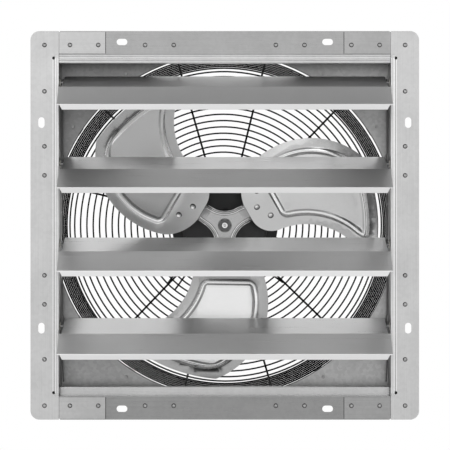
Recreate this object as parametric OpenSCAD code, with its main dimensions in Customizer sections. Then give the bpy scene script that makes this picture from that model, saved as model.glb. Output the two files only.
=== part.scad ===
// Shutter exhaust fan for a square wall opening.
// The origin is the centre of the flange's wall face. The shutter faces -Y and the fan
// blows that way. The sleeve, fan and guard go into the wall along +Y, and +Z is up.

/* [Flange and rails] */
// Outer side of the square flange
frame_size = 565; // [550:1:600]
// Radius of the flange's outer corners
frame_corner_r = 13; // [4:1:25]
// Thickness of the flange and rail sheet
frame_t = 1.2; // [0.8:0.1:1.6]
// Width of the flange on each side of the opening
flange_w = 34.2; // [33.4:0.1:35]
// Width of the raised lip along each side of the opening
side_lip_w = 7; // [6:0.1:8]
// How far the raised lip stands in front of the flange
side_lip_rise = 2; // [1.6:0.1:4]
// Height of the top and bottom rails
rail_h = 12.4; // [10:0.2:13]
// Depth of the side channels behind the flange
channel_depth = 56; // [52:0.5:56]
// Width of the flange that turns outward at the back of each side channel
channel_return = 5; // [3:0.5:6]
// Length of a corner plate beside its seam
corner_plate_l = 66; // [62:1:72]
// Thickness of a corner plate
plate_t = 0.8; // [0.6:0.1:1.1]

/* [Fixings on the flange] */
// Distance from a flange edge to the slots along it
slot_inset = 15.8; // [14:0.1:16]
// Distance from a flange corner to the nearer slot of a side
slot_from_end = 133; // [128:0.5:138]
// Length of a mounting slot
slot_l = 15.6; // [12:0.2:18]
// Width of a mounting slot
slot_w = 9.3; // [7:0.1:10]
// Distance from a flange edge to the rivets along it
rivet_inset = 20.3; // [18:0.1:20.4]
// Diameter of a rivet's head on the flange
rivet_head_d = 6.7; // [5:0.1:8]
// Diameter of a rivet's shank
rivet_d = 3.2; // [2.4:0.1:3.6]

/* [Shutter] */
// Height of the top pivot below the opening's top
pivot_from_top = 39.5; // [38.8:0.1:40.6]
// Height of the bottom pivot above the opening's bottom
pivot_from_bottom = 101; // [100:0.1:104]
// Overlap of a closed louvre with the next one
louvre_lap = 2; // [1.4:0.1:2.4]
// Thickness of a louvre's sheet
louvre_t = 1; // [0.6:0.1:1.2]
// Width of the part behind the crease
louvre_back = 71.8; // [66:0.2:72]
// Depth of the lip along the front edge
louvre_lip = 8; // [5:0.5:9]
// Slope of the part behind the crease when the louvre stands open
louvre_slope = 15.7; // [14:0.1:17]
// Bend at the crease
louvre_crease = 18.1; // [16:0.1:20]
// Distance from the back edge to the pivot
louvre_tail = 25; // [24:0.2:26]
// Gap between a louvre's end and the side channel
louvre_gap = 1.8; // [1.4:0.1:3]
// Step on each side between the wide and the narrow part
louvre_step = 4; // [3.6:0.1:5]
// Depth of the pivots behind the flange
pivot_y = 18.8; // [18:0.1:20]
// Diameter of a pivot pin
pivot_d = 4; // [3:0.1:5]
// Distance from a pivot to its tie bar's pin
crank_l = 27; // [26:0.5:29]
// Diameter of a tie bar's pin
crank_d = 3; // [2.4:0.1:3.4]
// Width of a tie bar
tie_w = 6; // [5.4:0.1:6.6]
// Thickness of a tie bar
tie_t = 1.6; // [1:0.1:1.8]
// Length of a tie bar below its lowest pin
tie_tail = 90; // [60:1:94]

/* [Sleeve and venturi] */
// Distance from a flange edge to the sleeve's outer face
sleeve_inset = 23; // [22.8:0.1:23.6]
// Thickness of the sleeve and of the venturi panel
sleeve_t = 1.2; // [0.8:0.1:1.6]
// Depth of the sleeve behind the flange
sleeve_depth = 58; // [58:0.5:62]
// Least width of the panel left beside the venturi's opening
venturi_margin = 5.5; // [5.5:0.5:9]
// Height of the rolled edge round the venturi's opening
venturi_edge = 3; // [2:0.5:3.5]

/* [Guard] */
// Depth of the guard's flat face behind the flange
guard_face_y = 165; // [162:1:172]
// Distance between one turn of the spiral wire and the next
turn_pitch = 9.65; // [9.2:0.05:9.8]
// Radius at which the spiral would start on the right side
turn_start = 3.5; // [2:0.1:5]
// Diameter of the spiral wire
turn_d = 2.4; // [1.8:0.1:2.6]
// Diameter of the radial wires
rib_d = 3; // [2.5:0.1:4]
// Radius of the bend at the guard's rim
guard_bend_r = 27; // [24:1:30]
// Distance from the venturi's edge in to the middle of that bend
guard_bend_in = 40.5; // [40.5:0.5:42]
// Turn of the radial wires from the diagonals
guard_turn = 1.1; // [0:0.1:3]
// Lean of the guard's side
guard_lean = 11; // [10:0.2:11]
// Diameter of the wire at the guard's foot
foot_d = 4; // [3:0.1:4.4]

/* [Fan] */
// Gap between a blade's tip and the venturi's edge
tip_gap = 23; // [20:0.5:30]
// Depth of the spider's front face behind the flange
hub_y = 101; // [100:0.5:104]
// Thickness of a blade
blade_t = 1.2; // [0.8:0.1:1.6]
// Pitch of a blade at its arm
blade_pitch = 24; // [18:0.5:25]
// Radius of a blade's camber
camber_r = 320; // [300:5:600]
// Distance from the axis to a blade's straight inner edge
blade_root = 40; // [38:0.5:42]
// Height of the pressed panel in a blade
panel_h = 1.8; // [1.4:0.1:2.2]
// Thickness of the spider
spider_t = 2; // [1.5:0.1:2.6]
// Width of the spider's arms
arm_w = 28.5; // [26:0.5:31]
// Diameter of a blade rivet's head
blade_rivet_d = 9; // [7:0.1:10]

/* [Motor] */
// Diameter of the motor's shell
motor_d = 130; // [124:1:132]
// Length of the motor between the faces of its end bosses
motor_l = 98; // [96:1:110]
// Diameter of the shaft
shaft_d = 12; // [11:0.5:13]
// Diameter of the shaft's threaded end
stud_d = 10; // [8:0.5:10]
// Width of the mounting plate round the motor's shell
mount_rim = 15.75; // [15:0.25:17]
// Distance from the axis to the ends of the mounting wires
mount_reach = 124.3; // [112:0.1:134]
// Distance between the two wires of a pair
mount_wires_w = 14.7; // [14:0.1:16]
// Turn of a pair of wires about its saddle
mount_skew = 9.5; // [0:0.5:12]
// Diameter of the mounting wires
mount_wire_d = 2.6; // [2:0.1:3]
// Thickness of the mounting plate
mount_t = 2.5; // [2:0.1:3]

/* [Hidden] */

// Clearances
fit = 0.05;     // Radial play of a running fit
seat = 0.05;    // Gap between pieces clamped together
seam = 0.4;     // Gap where two sheets meet edge to edge
$fn = 96;

// Worked out from the sizes above
half = frame_size / 2;
half_open = half - flange_w;
front_y = -frame_t;
strip_w = flange_w;
channel_x = half_open - side_lip_w;             // Inner face of a side channel
seam_x = channel_x - plate_t - 2 * seam;        // End of the top and bottom strips
rivet_at = half - rivet_inset;
rivet_steps = [for (e = [208.3, 166.6, 98.5, 57.4]) half - e];  // Rivets of the top and bottom rows
side_steps = [for (e = [209.8, 167.6, 87.6]) half - e];         // Rivets of the side rows
slot_spacing = frame_size - 2 * slot_from_end;
slot_rows = frame_size - 2 * slot_inset;
sleeve_half = half - sleeve_inset;
venturi_d = 2 * (sleeve_half - venturi_margin);
fan_d = venturi_d - 2 * tip_gap;
guard_bend_at = venturi_d / 2 - guard_bend_in;
pivot_top_z = half_open - pivot_from_top;
louvre_pitch = (2 * half_open - pivot_from_top - pivot_from_bottom) / 3;
louvre_front = louvre_pitch + louvre_lap - louvre_back;
louvre_w = 2 * (channel_x - louvre_gap);
sill_y = pivot_y + 1.4;                         // Front face of the bottom rail's upstand
pivot_drop = 4;                                 // Pivot below the top of its louvre
back_x = louvre_w / 2 - louvre_step;            // Outer face of a louvre's end tab
tie_x = back_x + 1.9;                           // Inner face of a tie bar
crank_a = 8;                                    // Direction of the crank when open
crank = crank_l * [cos(crank_a), sin(crank_a)];
panel_back = sleeve_depth;
turn_gap = turn_d / 2 + rib_d / 2 + seat;       // From a rib's middle to the spiral's middle
bend_y = guard_face_y - guard_bend_r;
rib_y = guard_face_y - turn_gap;
rib_turns = [for (k = [0:11]) 15 + 30 * k - guard_turn];
rib_bend_r = guard_bend_r - turn_gap;
edge_y = panel_back + venturi_edge;             // Top of the venturi's rolled edge
rib_from = [guard_bend_at, bend_y] + rib_bend_r * [cos(guard_lean), sin(guard_lean)];
rib_run = (rib_from[1] - edge_y - 0.3) / cos(guard_lean);
foot_r = rib_from[0] + rib_run * sin(guard_lean) + rib_d / 2 / cos(guard_lean) + foot_d / 2 + seat;
foot_y = edge_y + foot_d / 2 + seat;
clip_turns = [for (q = [45:90:315], s = [-12, 12]) q + s];
clip_screw_r = foot_r + 11;
arm_at = [150, 30, 270];                        // Directions of the blades' arms
camber_out = camber_r + blade_t;                // Radius of a blade's back
washer_t = 1.6;
hub_gap = 21;                                   // From the spider to the motor's front boss
shield_y = hub_y + spider_t + hub_gap;          // Face of the motor's front boss
motor_end = shield_y + motor_l;
shell_y = shield_y + 17;                        // Front edge of the motor's shell
shell_end = motor_end - 17;
motor_r = motor_d / 2;
lug_r = motor_r + 7;
mount_y = rib_y - rib_d / 2 - seat - mount_t;   // Front face of the mounting plate
wire_y = guard_face_y + turn_d / 2 + seat + mount_wire_d / 2;
saddle_y = wire_y + mount_wire_d / 2 + seat;
mount_d = motor_d + 2 * mount_rim;
saddle_r = motor_r + mount_rim - 6.75;          // From the axis to the middle of a saddle
saddle_x = mount_wires_w / 2 + mount_wire_d / 2 + 2.85;         // From that middle to its bolts
bolt_d = 5;
saddle_bolt_d = 4;
bearing_d = 32;
bearing_w = 10;

// Sheet metal: a path of straight runs, bent at an inside radius, with its thickness on the left.
function unit(v) = v / norm(v);
function left_of(a, b) = [a[1] - b[1], b[0] - a[0]] / norm(b - a);
function turns_left(a, b, c) = cross(b - a, c - b) > 0;
function bend(p, i, r) =
    let (u = unit(p[i - 1] - p[i]), v = unit(p[i + 1] - p[i]), h = acos(u * v) / 2,
         c = p[i] + unit(u + v) * r / sin(h), a = p[i] + u * r / tan(h) - c,
         b = p[i] + v * r / tan(h) - c)
    [for (k = [0:4]) c + unit(a * (4 - k) + b * k) * r];
function bent(p, r, t) = [for (i = [0:len(p) - 1])
    each (i == 0 || i == len(p) - 1 ? [p[i]] :
          bend(p, i, turns_left(p[i - 1], p[i], p[i + 1]) ? r + t : r))];
function mitre(p, i, t) =
    i == 0 ? p[0] + t * left_of(p[0], p[1]) :
    i == len(p) - 1 ? p[i] + t * left_of(p[i - 1], p[i]) :
    let (a = left_of(p[i - 1], p[i]), b = left_of(p[i], p[i + 1])) p[i] + t * (a + b) / (1 + a * b);
module sheet(path, t, r) {
    p = bent(path, r, t);
    polygon(concat(p, [for (i = [len(p) - 1:-1:0]) mitre(p, i, t)]));
}

// Frames: a profile in depth and height run along X, and planes that face out or in.
module along_x(w) translate([-w / 2, 0, 0]) rotate([90, 0, 90]) linear_extrude(w) children();
module facing(y) translate([0, y, 0]) rotate([90, 0, 0]) children();
module inward(y) translate([0, y, 0]) rotate([-90, 0, 0]) children();
module sides() for (s = [0, 1]) mirror([s, 0, 0]) children();
module corners() sides() for (s = [0, 1]) mirror([0, 0, s]) children();
module hexagon(across, h) cylinder(d = across / cos(30), h = h, $fn = 6);
module ring(r, d) rotate_extrude($fn = 128) translate([r, 0]) circle(d = d, $fn = 20);
module outside_corner(r) difference() { square(r + 1); circle(r); }
module slot(l, w, h) {
    for (s = [-1, 1]) translate([s * (l - w) / 2, 0, 0]) cylinder(d = w, h = h, center = true);
    cube([l - w, w, h], center = true);
}

// Holes through the flange: the mounting slots and the rivet holes.
module flange_holes(h = 8) facing(0) {
    for (a = [0:90:270], s = [-1, 1]) rotate(a)
        translate([s * slot_spacing / 2, slot_rows / 2, 0]) slot(slot_l, slot_w, h);
    for (s = [-1, 1], m = [-1, 1]) {
        for (x = concat(rivet_steps, rivet_at)) translate([m * x, s * rivet_at, 0])
            cylinder(d = rivet_d + 2 * fit, h = h, center = true, $fn = 24);
        for (z = side_steps) translate([s * rivet_at, m * z, 0])
            cylinder(d = rivet_d + 2 * fit, h = h, center = true, $fn = 24);
    }
}

// Side rail: a flange strip, a raised lip, and a channel wall with a narrow flange at its back.
module side_rail() {
    wall_x = channel_x + frame_t;
    start_x = seam_x + plate_t + 2 * seam;
    reach = half_open - seam;
    difference() {
        union() {
            facing(0) linear_extrude(frame_t) difference() {
                translate([start_x, -half]) square([half - start_x, frame_size]);
                translate([start_x - 1, -reach]) square([half_open - start_x + 1, 2 * reach]);
                for (s = [0, 1]) mirror([0, s]) translate([half - frame_corner_r, half - frame_corner_r])
                    outside_corner(frame_corner_r);
            }
            translate([0, 0, -reach]) linear_extrude(2 * reach)
                sheet([[half_open + 1, 0], [half_open, 0], [half_open - lip_slope, -side_lip_rise],
                       [wall_x, -side_lip_rise], [wall_x, channel_depth - frame_t],
                       [wall_x + channel_return, channel_depth - frame_t]], frame_t, 0.25);
        }
        flange_holes();
        facing(0) for (s = [-1, 1]) translate([half_open + 0.4, s * (half_open - 5), 0])
            cylinder(d = relief_d, h = 2 * frame_t + 2, center = true, $fn = 32);
        for (k = [0:3]) translate([channel_x - 1, pivot_y, pivot_top_z - k * louvre_pitch])
            rotate([0, 90, 0]) cylinder(d = bush_d + 2 * seat, h = frame_t + 2, $fn = 32);
    }
}
bush_d = pivot_d + 4;
lip_slope = 3;                                  // Width of the lip's sloped outer step
relief_d = 4.4;                                 // Relief hole at each end of the lip's bend
module side_rail_left() color("silver") mirror([1, 0, 0]) side_rail();
module side_rail_right() color("silver") side_rail();

// Top and bottom rails: a flange strip, and a folded rail between the side channels.
rail_w = 2 * (channel_x - seam);
module strip(lift = 0) facing(0) translate([-seam_x, half_open + lift, 0])
    linear_extrude(frame_t) square([2 * seam_x, strip_w - lift]);
module top_rail() color("gainsboro") difference() {
    z = half_open;
    union() {
        strip(0.9);
        along_x(rail_w) sheet([[front_y, z + 1.5], [front_y, z + 0.7], [front_y - 1.6, z - 1.3], [-0.6, z - 3.1],
            [-0.6, z - 4.8], [-1.8, z - 6.5], [-0.6, z - 8.2], [-1.8, z - 9.9], [-1.8, z - rail_h],
            [14, z - rail_h], [14, z - 5]], frame_t, 0.25);
    }
    flange_holes();
}
module bottom_rail() color("gainsboro") difference() {
    z = -half_open;
    union() {
        mirror([0, 0, 1]) strip();
        along_x(rail_w) sheet([[sill_y + 10, z + rail_h - 6], [sill_y + 10, z + rail_h], [sill_y, z + rail_h],
            [sill_y, z], [front_y, z]], frame_t, 0.3);
    }
    flange_holes();
}

// Corner plate: it lies on the strip, dips through the seam and holds the side rail from behind.
module corner_plate() difference() {
    dip_x = seam_x + seam + plate_t;
    translate([0, 0, half_open + frame_t + seam]) linear_extrude(strip_w - 2 * frame_t - seam)
        sheet([[seam_x - corner_plate_l, front_y - seat - plate_t], [dip_x, front_y - seat - plate_t],
               [dip_x, seat], [rivet_at + 8, seat]], plate_t, 0.1);
    flange_holes();
}
module corner_plates() color("whitesmoke") corners() corner_plate();

// Rivet: a domed head in front, its shank, and a set tail behind what it grips.
module rivet(head_d, d, grip) {
    rise = head_d / 4;
    dome = (head_d * head_d / 4 + rise * rise) / (2 * rise);
    translate([0, 0, seat]) intersection() {
        cylinder(d = head_d, h = rise, $fn = 32);
        translate([0, 0, rise - dome]) sphere(dome, $fn = 64);
    }
    translate([0, 0, -grip - 0.6]) cylinder(d = d, h = grip + 1, $fn = 24);
    translate([0, 0, -grip - 1 - seat]) cylinder(d = d * 1.35, h = 1, $fn = 24);
}
module frame_rivets() color("lightgray") {
    grip = frame_t + seat + sleeve_t;
    facing(front_y) for (s = [-1, 1], m = [-1, 1]) {
        translate([m * rivet_at, s * rivet_at, 0]) rivet(rivet_head_d, rivet_d, frame_t + seat + plate_t);
        for (i = [0, 1]) translate([m * rivet_steps[i], s * rivet_at, 0]) rivet(rivet_head_d, rivet_d, grip);
        for (z = side_steps) translate([s * rivet_at, m * z, 0]) rivet(rivet_head_d, rivet_d, grip);
    }
    facing(front_y - seat - plate_t) for (s = [-1, 1], m = [-1, 1], i = [2, 3])
        translate([m * rivet_steps[i], s * rivet_at, 0]) rivet(rivet_head_d, rivet_d, grip + seat + plate_t);
}

// Sleeve walls, each with ears that the flange's rivets hold, notched for the corner plates.
ear_h = rivet_at + 8 - sleeve_half;
ear_edge = 10;
module sleeve_wall(w, ears) difference() {
    union() {
        translate([-w / 2, seat, sleeve_half - sleeve_t]) cube([w, sleeve_depth - seat, sleeve_t]);
        for (m = [-1, 1], e = ears) translate([m * (e[0] + e[1]) / 2, seat, sleeve_half + ear_h / 2 - 0.3])
            translate([-(e[1] - e[0]) / 2 - ear_edge, 0, -ear_h / 2 - 0.3])
                cube([e[1] - e[0] + 2 * ear_edge, sleeve_t, ear_h + 0.3]);
    }
    for (m = [0, 1]) mirror([m, 0, 0]) translate([seam_x - 1, -1, half_open])
        cube([half, 1 + plate_t + 3 * seat, half]);
    for (x = screw_steps) translate([x, screw_y, sleeve_half - sleeve_t - 1])
        cylinder(d = screw_d + 2 * fit, h = sleeve_t + 2, $fn = 24);
}
screw_steps = [-170, 0, 170];
screw_y = sleeve_depth - 7;
screw_d = 4;
row_ears = [[rivet_steps[0], rivet_steps[1]], [rivet_steps[2], seam_x - 12]];
side_ears = [[side_steps[0], side_steps[1]], [side_steps[2], side_steps[2]]];
lid_w = 2 * (sleeve_half - sleeve_t - seat);
module riveted() difference() { children(); flange_holes(); }
module sleeve_top() color("darkgray") riveted() sleeve_wall(lid_w, row_ears);
module sleeve_bottom() color("darkgray") riveted() mirror([0, 0, 1]) sleeve_wall(lid_w, row_ears);
module sleeve_right() color("darkgray") riveted() rotate([0, 90, 0]) sleeve_wall(2 * sleeve_half, side_ears);
module sleeve_left() color("darkgray") riveted() rotate([0, -90, 0]) sleeve_wall(2 * sleeve_half, side_ears);

// Venturi panel: a tray with a round opening and a rolled edge, screwed inside the sleeve.
tray_h = 14;
tray_half = sleeve_half - sleeve_t - 2 * seat;
module venturi_panel() color("lightsteelblue") difference() {
    union() {
        difference() {
            translate([-tray_half, panel_back - tray_h, -tray_half])
                cube([2 * tray_half, tray_h, 2 * tray_half]);
            translate([sleeve_t - tray_half, panel_back - tray_h - 1, sleeve_t - tray_half])
                cube([2 * (tray_half - sleeve_t), tray_h - sleeve_t + 1, 2 * (tray_half - sleeve_t)]);
        }
        inward(panel_back - sleeve_t) cylinder(r = venturi_d / 2 + sleeve_t, h = sleeve_t + venturi_edge, $fn = 180);
    }
    inward(panel_back - sleeve_t - 1) cylinder(d = venturi_d, h = sleeve_t + venturi_edge + 2, $fn = 180);
    inward(panel_back - sleeve_t - 0.2) cylinder(d1 = venturi_d + 2.2, d2 = venturi_d - 0.2, h = 1.2, $fn = 180);
    for (a = [0:90:270], x = screw_steps) rotate([0, a, 0]) translate([x, screw_y, tray_half - 3])
        cylinder(d = screw_d + 2 * fit, h = 6, $fn = 24);
    inward(panel_back - 4) for (a = clip_turns) rotate(a) translate([clip_screw_r, 0, 0])
        cylinder(d = screw_d + 2 * fit, h = 6, $fn = 24);
}
module panel_screws() color("dimgray")
    for (a = [0:90:270], x = screw_steps) rotate([0, a, 0]) translate([x, screw_y, sleeve_half]) {
        translate([0, 0, seat]) hexagon(7, 2.4);
        translate([0, 0, seat]) cylinder(d = 9, h = 0.8, $fn = 32);
        translate([0, 0, -7]) cylinder(d = screw_d, h = 7.5, $fn = 24);
    }

// Pivot bushes: a flanged bush in the channel wall for each louvre's pin.
module pivot_bush() rotate([0, 90, 0]) difference() {
    union() {
        translate([0, 0, -0.8 - seat]) cylinder(d = bush_d + 3, h = 0.8, $fn = 32);
        translate([0, 0, -0.8]) cylinder(d = bush_d, h = frame_t + 3.2, $fn = 32);
        translate([0, 0, frame_t + seat]) cylinder(d = bush_d + 1.6, h = 1, $fn = 32);
    }
    translate([0, 0, -2]) cylinder(d = pivot_d + 2 * fit, h = 8, $fn = 32);
}
module pivot_bushes() color("ivory") sides() for (k = [0:3])
    translate([channel_x, pivot_y, pivot_top_z - k * louvre_pitch]) pivot_bush();

// Louvre, drawn about its pivot: back part, crease, front part, lip, and a tab at each end.
function down(a) = [-cos(a), -sin(a)];
slope_n = [-sin(louvre_slope), cos(louvre_slope)];
back_edge = pivot_drop * slope_n - louvre_tail * down(louvre_slope);
crease_at = back_edge + louvre_back * down(louvre_slope);
front_edge = crease_at + louvre_front * down(louvre_slope + louvre_crease);
lip_edge = front_edge - [0, louvre_lip];
module end_tab() difference() {
    r = crank_d / 2 + 2.4;
    under = (pivot_drop - louvre_t / 2) * slope_n;
    union() {
        polygon([under + 9 * down(louvre_slope), under - (louvre_tail - 0.5) * down(louvre_slope),
                 crank + r * [-sin(crank_a), cos(crank_a)], crank + r * [sin(crank_a), -cos(crank_a)],
                 (pivot_d / 2 + 2.6) * [sin(crank_a), -cos(crank_a)]]);
        translate(crank) circle(r, $fn = 32);
        circle(pivot_d / 2 + 2.6, $fn = 32);
    }
    circle(d = pivot_d + 2 * fit, $fn = 32);
    translate(crank) circle(d = crank_d + 2 * fit, $fn = 32);
}
module louvre(k) translate([0, pivot_y, pivot_top_z - k * louvre_pitch]) {
    difference() {
        along_x(louvre_w) sheet([back_edge, crease_at, front_edge, lip_edge], louvre_t, 0.5);
        sides() translate([back_x, 0, 0]) rotate([90, 0, 90]) linear_extrude(louvre_step + 1)
            translate(crease_at) rotate(louvre_slope) translate([0, -4]) square([louvre_back + 9, 8]);
        sides() translate([louvre_w / 2, front_edge[0] - 3, front_edge[1] - 1.5]) rotate([90, 0, 0])
            mirror([0, 0, 1]) linear_extrude(8)
                polygon([[-4.1, 0], [1, 0], [1, -louvre_lip], [-7.7, -louvre_lip], [-7.7, 1.5 - louvre_lip]]);
    }
    sides() translate([back_x - louvre_t, 0, 0]) rotate([90, 0, 90]) linear_extrude(louvre_t) end_tab();
}
module louvre_1() color("silver") louvre(0);
module louvre_2() color("silver") louvre(1);
module louvre_3() color("silver") louvre(2);
module louvre_4() color("silver") louvre(3);

// Pins of a louvre: a headed pivot pin and a shouldered crank pin at each end.
module pins(k) color("dimgray") translate([0, pivot_y, pivot_top_z - k * louvre_pitch]) sides() {
    translate([back_x, 0, 0]) rotate([0, 90, 0]) {
        translate([0, 0, -louvre_t - seat - 1]) cylinder(d = pivot_d + 1.4, h = 1, $fn = 32);
        translate([0, 0, -louvre_t - 0.6]) cylinder(d = pivot_d, h = channel_x - back_x + frame_t + louvre_t + 3, $fn = 32);
        translate([0, 0, seat]) cylinder(d = pivot_d + 1.4, h = 1, $fn = 32);
    }
    translate([back_x, crank[0], crank[1]]) rotate([0, 90, 0]) {
        translate([0, 0, -louvre_t - seat - 0.8]) cylinder(d = crank_d + 2, h = 0.8, $fn = 32);
        translate([0, 0, -louvre_t - 0.6]) cylinder(d = crank_d, h = tie_x - back_x + tie_t + louvre_t + 1, $fn = 32);
        translate([0, 0, seat]) cylinder(d = crank_d + 1.6, h = tie_x - back_x - 3 * seat, $fn = 32);
        translate([0, 0, tie_x - back_x + tie_t + 2 * seat]) cylinder(d = crank_d + 2, h = 0.7, $fn = 32);
    }
}
module louvre_pins_1() pins(0);
module louvre_pins_2() pins(1);
module louvre_pins_3() pins(2);
module louvre_pins_4() pins(3);

// Tie bar: a strip set outward between the eyes for the crank pins, with a bent tail.
tie_jog = 1.2;
tie_z = pivot_top_z + crank[1];
module tie_bar() intersection() {
    facing(pivot_y + crank[0] + tie_w / 2 + 1) linear_extrude(tie_w + 2)
        sheet(concat([[tie_x, tie_z + tie_w]], [for (k = [0:3], q = [[0, 15], [tie_jog, 19], [tie_jog, louvre_pitch - 13],
            [0, louvre_pitch - 9]]) if (k < 3 || q[1] < 20) [tie_x + q[0], tie_z - k * louvre_pitch - q[1]]],
            [[tie_x + tie_jog, tie_z - 3 * louvre_pitch - tie_tail + 32],
             [tie_x - 0.4, tie_z - 3 * louvre_pitch - tie_tail - 2]]), tie_t, 0.5);
    translate([tie_x - 2, pivot_y + crank[0], tie_z]) rotate([90, 0, 90]) linear_extrude(tie_t + 5) difference() {
        reach = 3 * louvre_pitch;
        union() {
            circle(d = tie_w);
            translate([-tie_w / 2, -reach - tie_tail + tie_w]) square([tie_w, reach + tie_tail - tie_w]);
            translate([0, -reach - tie_tail + tie_w]) circle(d = tie_w);
        }
        for (k = [0:3]) translate([0, -k * louvre_pitch]) circle(d = crank_d + 2 * fit, $fn = 32);
    }
}
module tie_bar_right() color("slategray") tie_bar();
module tie_bar_left() color("slategray") mirror([1, 0, 0]) tie_bar();

// Guard: one spiral wire outside bent radial wires, from the mounting plate to the thick foot wire.
// The spiral is a chain of half circles between the points where it crosses the guard's middle plane.
bend_l = guard_bend_r * (90 - guard_lean) * PI / 180;
side_from = [guard_bend_at, bend_y] + guard_bend_r * [cos(guard_lean), sin(guard_lean)];
function crossing(i) = let (s = turn_start + i * turn_pitch / 2 - guard_bend_at, a = s / guard_bend_r * 180 / PI)
    s < 0 ? [guard_bend_at + s, guard_face_y] :
    s < bend_l ? [guard_bend_at, bend_y] + (guard_bend_r + 0.1) * [sin(a), cos(a)] :
    side_from + (s - bend_l) * [sin(guard_lean), -cos(guard_lean)];
first_half = ceil(2 * (mount_d / 2 + 4 - turn_start) / turn_pitch);
rim_half = floor(2 * (guard_bend_at - turn_start) / turn_pitch);
last_half = floor(2 * (guard_bend_at + bend_l + rib_run - 7 - turn_start) / turn_pitch);
module half_turn(i, d, lead, tail) {
    a = crossing(i);
    b = crossing(i + 1);
    r = norm([a[0] + b[0], b[1] - a[1]]) / 2;
    k = 180 / PI / r;
    rotate(180 * i) translate([(a[0] - b[0]) / 2, 0, (a[1] + b[1]) / 2])
        rotate([0, asin((b[1] - a[1]) / 2 / r), 0]) rotate(-lead * k)
            rotate_extrude(angle = 180 + (lead + tail) * k, $fn = 128) translate([r, 0]) circle(d = d, $fn = 20);
}
module guard_face_spiral() color("dimgray") inward(0) mirror([0, 1, 0]) for (i = [first_half:rim_half - 1])
    if ((i - first_half) % 2 == 0) half_turn(i, turn_d, 0, 0);
    else half_turn(i, turn_d - 0.02, 0.3, i == rim_half - 1 ? 0 : 0.3);
module guard_side_turns() color("dimgray") {
    inward(0) mirror([0, 1, 0]) for (i = [rim_half:2:last_half - 1]) {
        half_turn(i, turn_d, -seat, 0);
        if (i + 1 < last_half) half_turn(i + 1, turn_d - 0.02, 0.3, 0);
    }
    inward(foot_y) ring(foot_r, foot_d);
}
module rib() {
    inner_r = motor_r + 4;
    d = rib_d - 0.02;       // The straight runs reach just inside the ends of the bend
    translate([inner_r, 0, rib_y]) rotate([0, 90, 0]) cylinder(d = d, h = guard_bend_at - inner_r + 0.3, $fn = 16);
    translate([guard_bend_at, 0, bend_y]) rotate([90, 0, 0]) rotate([0, 0, guard_lean])
        rotate_extrude(angle = 90 - guard_lean, $fn = 64) translate([rib_bend_r, 0]) circle(d = rib_d, $fn = 16);
    translate([rib_from[0], 0, rib_from[1]]) rotate([0, 180 - guard_lean, 0]) translate([0, 0, -0.3])
        cylinder(d = d, h = rib_run + 0.3, $fn = 16);
}
module guard_ribs() color("black") inward(0) for (a = rib_turns) rotate(a) rib();

// Guard clips: a strap over the foot wire, screwed to the venturi panel.
clip_t = 1.5;
clip_w = 13;
module guard_clips() color("dimgray") inward(0) for (a = clip_turns) rotate(a) difference() {
    r = foot_r + foot_d / 2 + 0.6;
    top = foot_y + foot_d / 2 + 0.2;
    rotate([90, 0, 0]) translate([0, 0, -clip_w / 2]) linear_extrude(clip_w)
        sheet([[foot_r - foot_d / 2 - 0.8, top], [r, top], [r, panel_back + seat],
               [clip_screw_r + 6, panel_back + seat]], clip_t, 0.3);
    translate([clip_screw_r, 0, panel_back - 1]) cylinder(d = screw_d + 2 * fit, h = 5, $fn = 24);
}
module guard_screws() color("gray") inward(panel_back + clip_t + 2 * seat) for (a = clip_turns) rotate(a)
    translate([clip_screw_r, 0, 0]) {
        cylinder(d = 8, h = 1.6, $fn = 32);
        translate([0, 0, 1.6]) cylinder(d1 = 8, d2 = 5.6, h = 0.9, $fn = 32);
        translate([0, 0, -8]) cylinder(d = screw_d, h = 9, $fn = 24);
    }

// Motor mount: a plate round the shell, bolted through the guard to four pairs of short wires.
module saddle_places() for (q = [45:90:315]) rotate(q) translate([saddle_r, 0, 0]) rotate(-mount_skew) children();
module saddle_bolt_places() saddle_places() for (s = [-1, 1]) translate([0, s * saddle_x, 0]) children();
module lug_places(r = lug_r) for (q = [0:90:270]) rotate(q) translate([r, 0, 0]) children();
module motor_mount() color([0.15, 0.15, 0.16]) inward(mount_y) difference() {
    union() {
        cylinder(d = mount_d, h = mount_t);
        translate([0, 0, -4]) cylinder(r = motor_r + 2, h = 4.2);
    }
    translate([0, 0, -5]) cylinder(r = motor_r + seat, h = mount_t + 6);
    saddle_bolt_places() cylinder(d = saddle_bolt_d + 0.4, h = 20, center = true, $fn = 24);
    lug_places() cylinder(d = bolt_d + 0.4, h = 20, center = true, $fn = 24);
    lug_places() translate([0, 0, -6]) cylinder(d = 12, h = 6, $fn = 32);
}
module mount_wires() color("dimgray") inward(wire_y) saddle_places() for (s = [-1, 1])
    translate([-4, s * mount_wires_w / 2, 0]) rotate([0, 90, 0])
        cylinder(d = mount_wire_d, h = mount_reach - saddle_r + 4.5, $fn = 20);
module mount_saddles() color("dimgray") inward(saddle_y) saddle_places() difference() {
    translate([-6, -saddle_x - 5, 0]) cube([12, 2 * saddle_x + 10, 2]);
    for (s = [-1, 1]) translate([0, s * saddle_x, -1]) cylinder(d = saddle_bolt_d + 0.4, h = 4, $fn = 24);
}
module mount_bolts() color("gray") inward(0) saddle_bolt_places() {
    translate([0, 0, mount_y - seat - 2.8]) hexagon(7, 2.8);
    translate([0, 0, mount_y - 1]) cylinder(d = saddle_bolt_d, h = saddle_y - mount_y + 8, $fn = 24);
    translate([0, 0, saddle_y + 2 + seat]) hexagon(7, 3.2);
}

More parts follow.
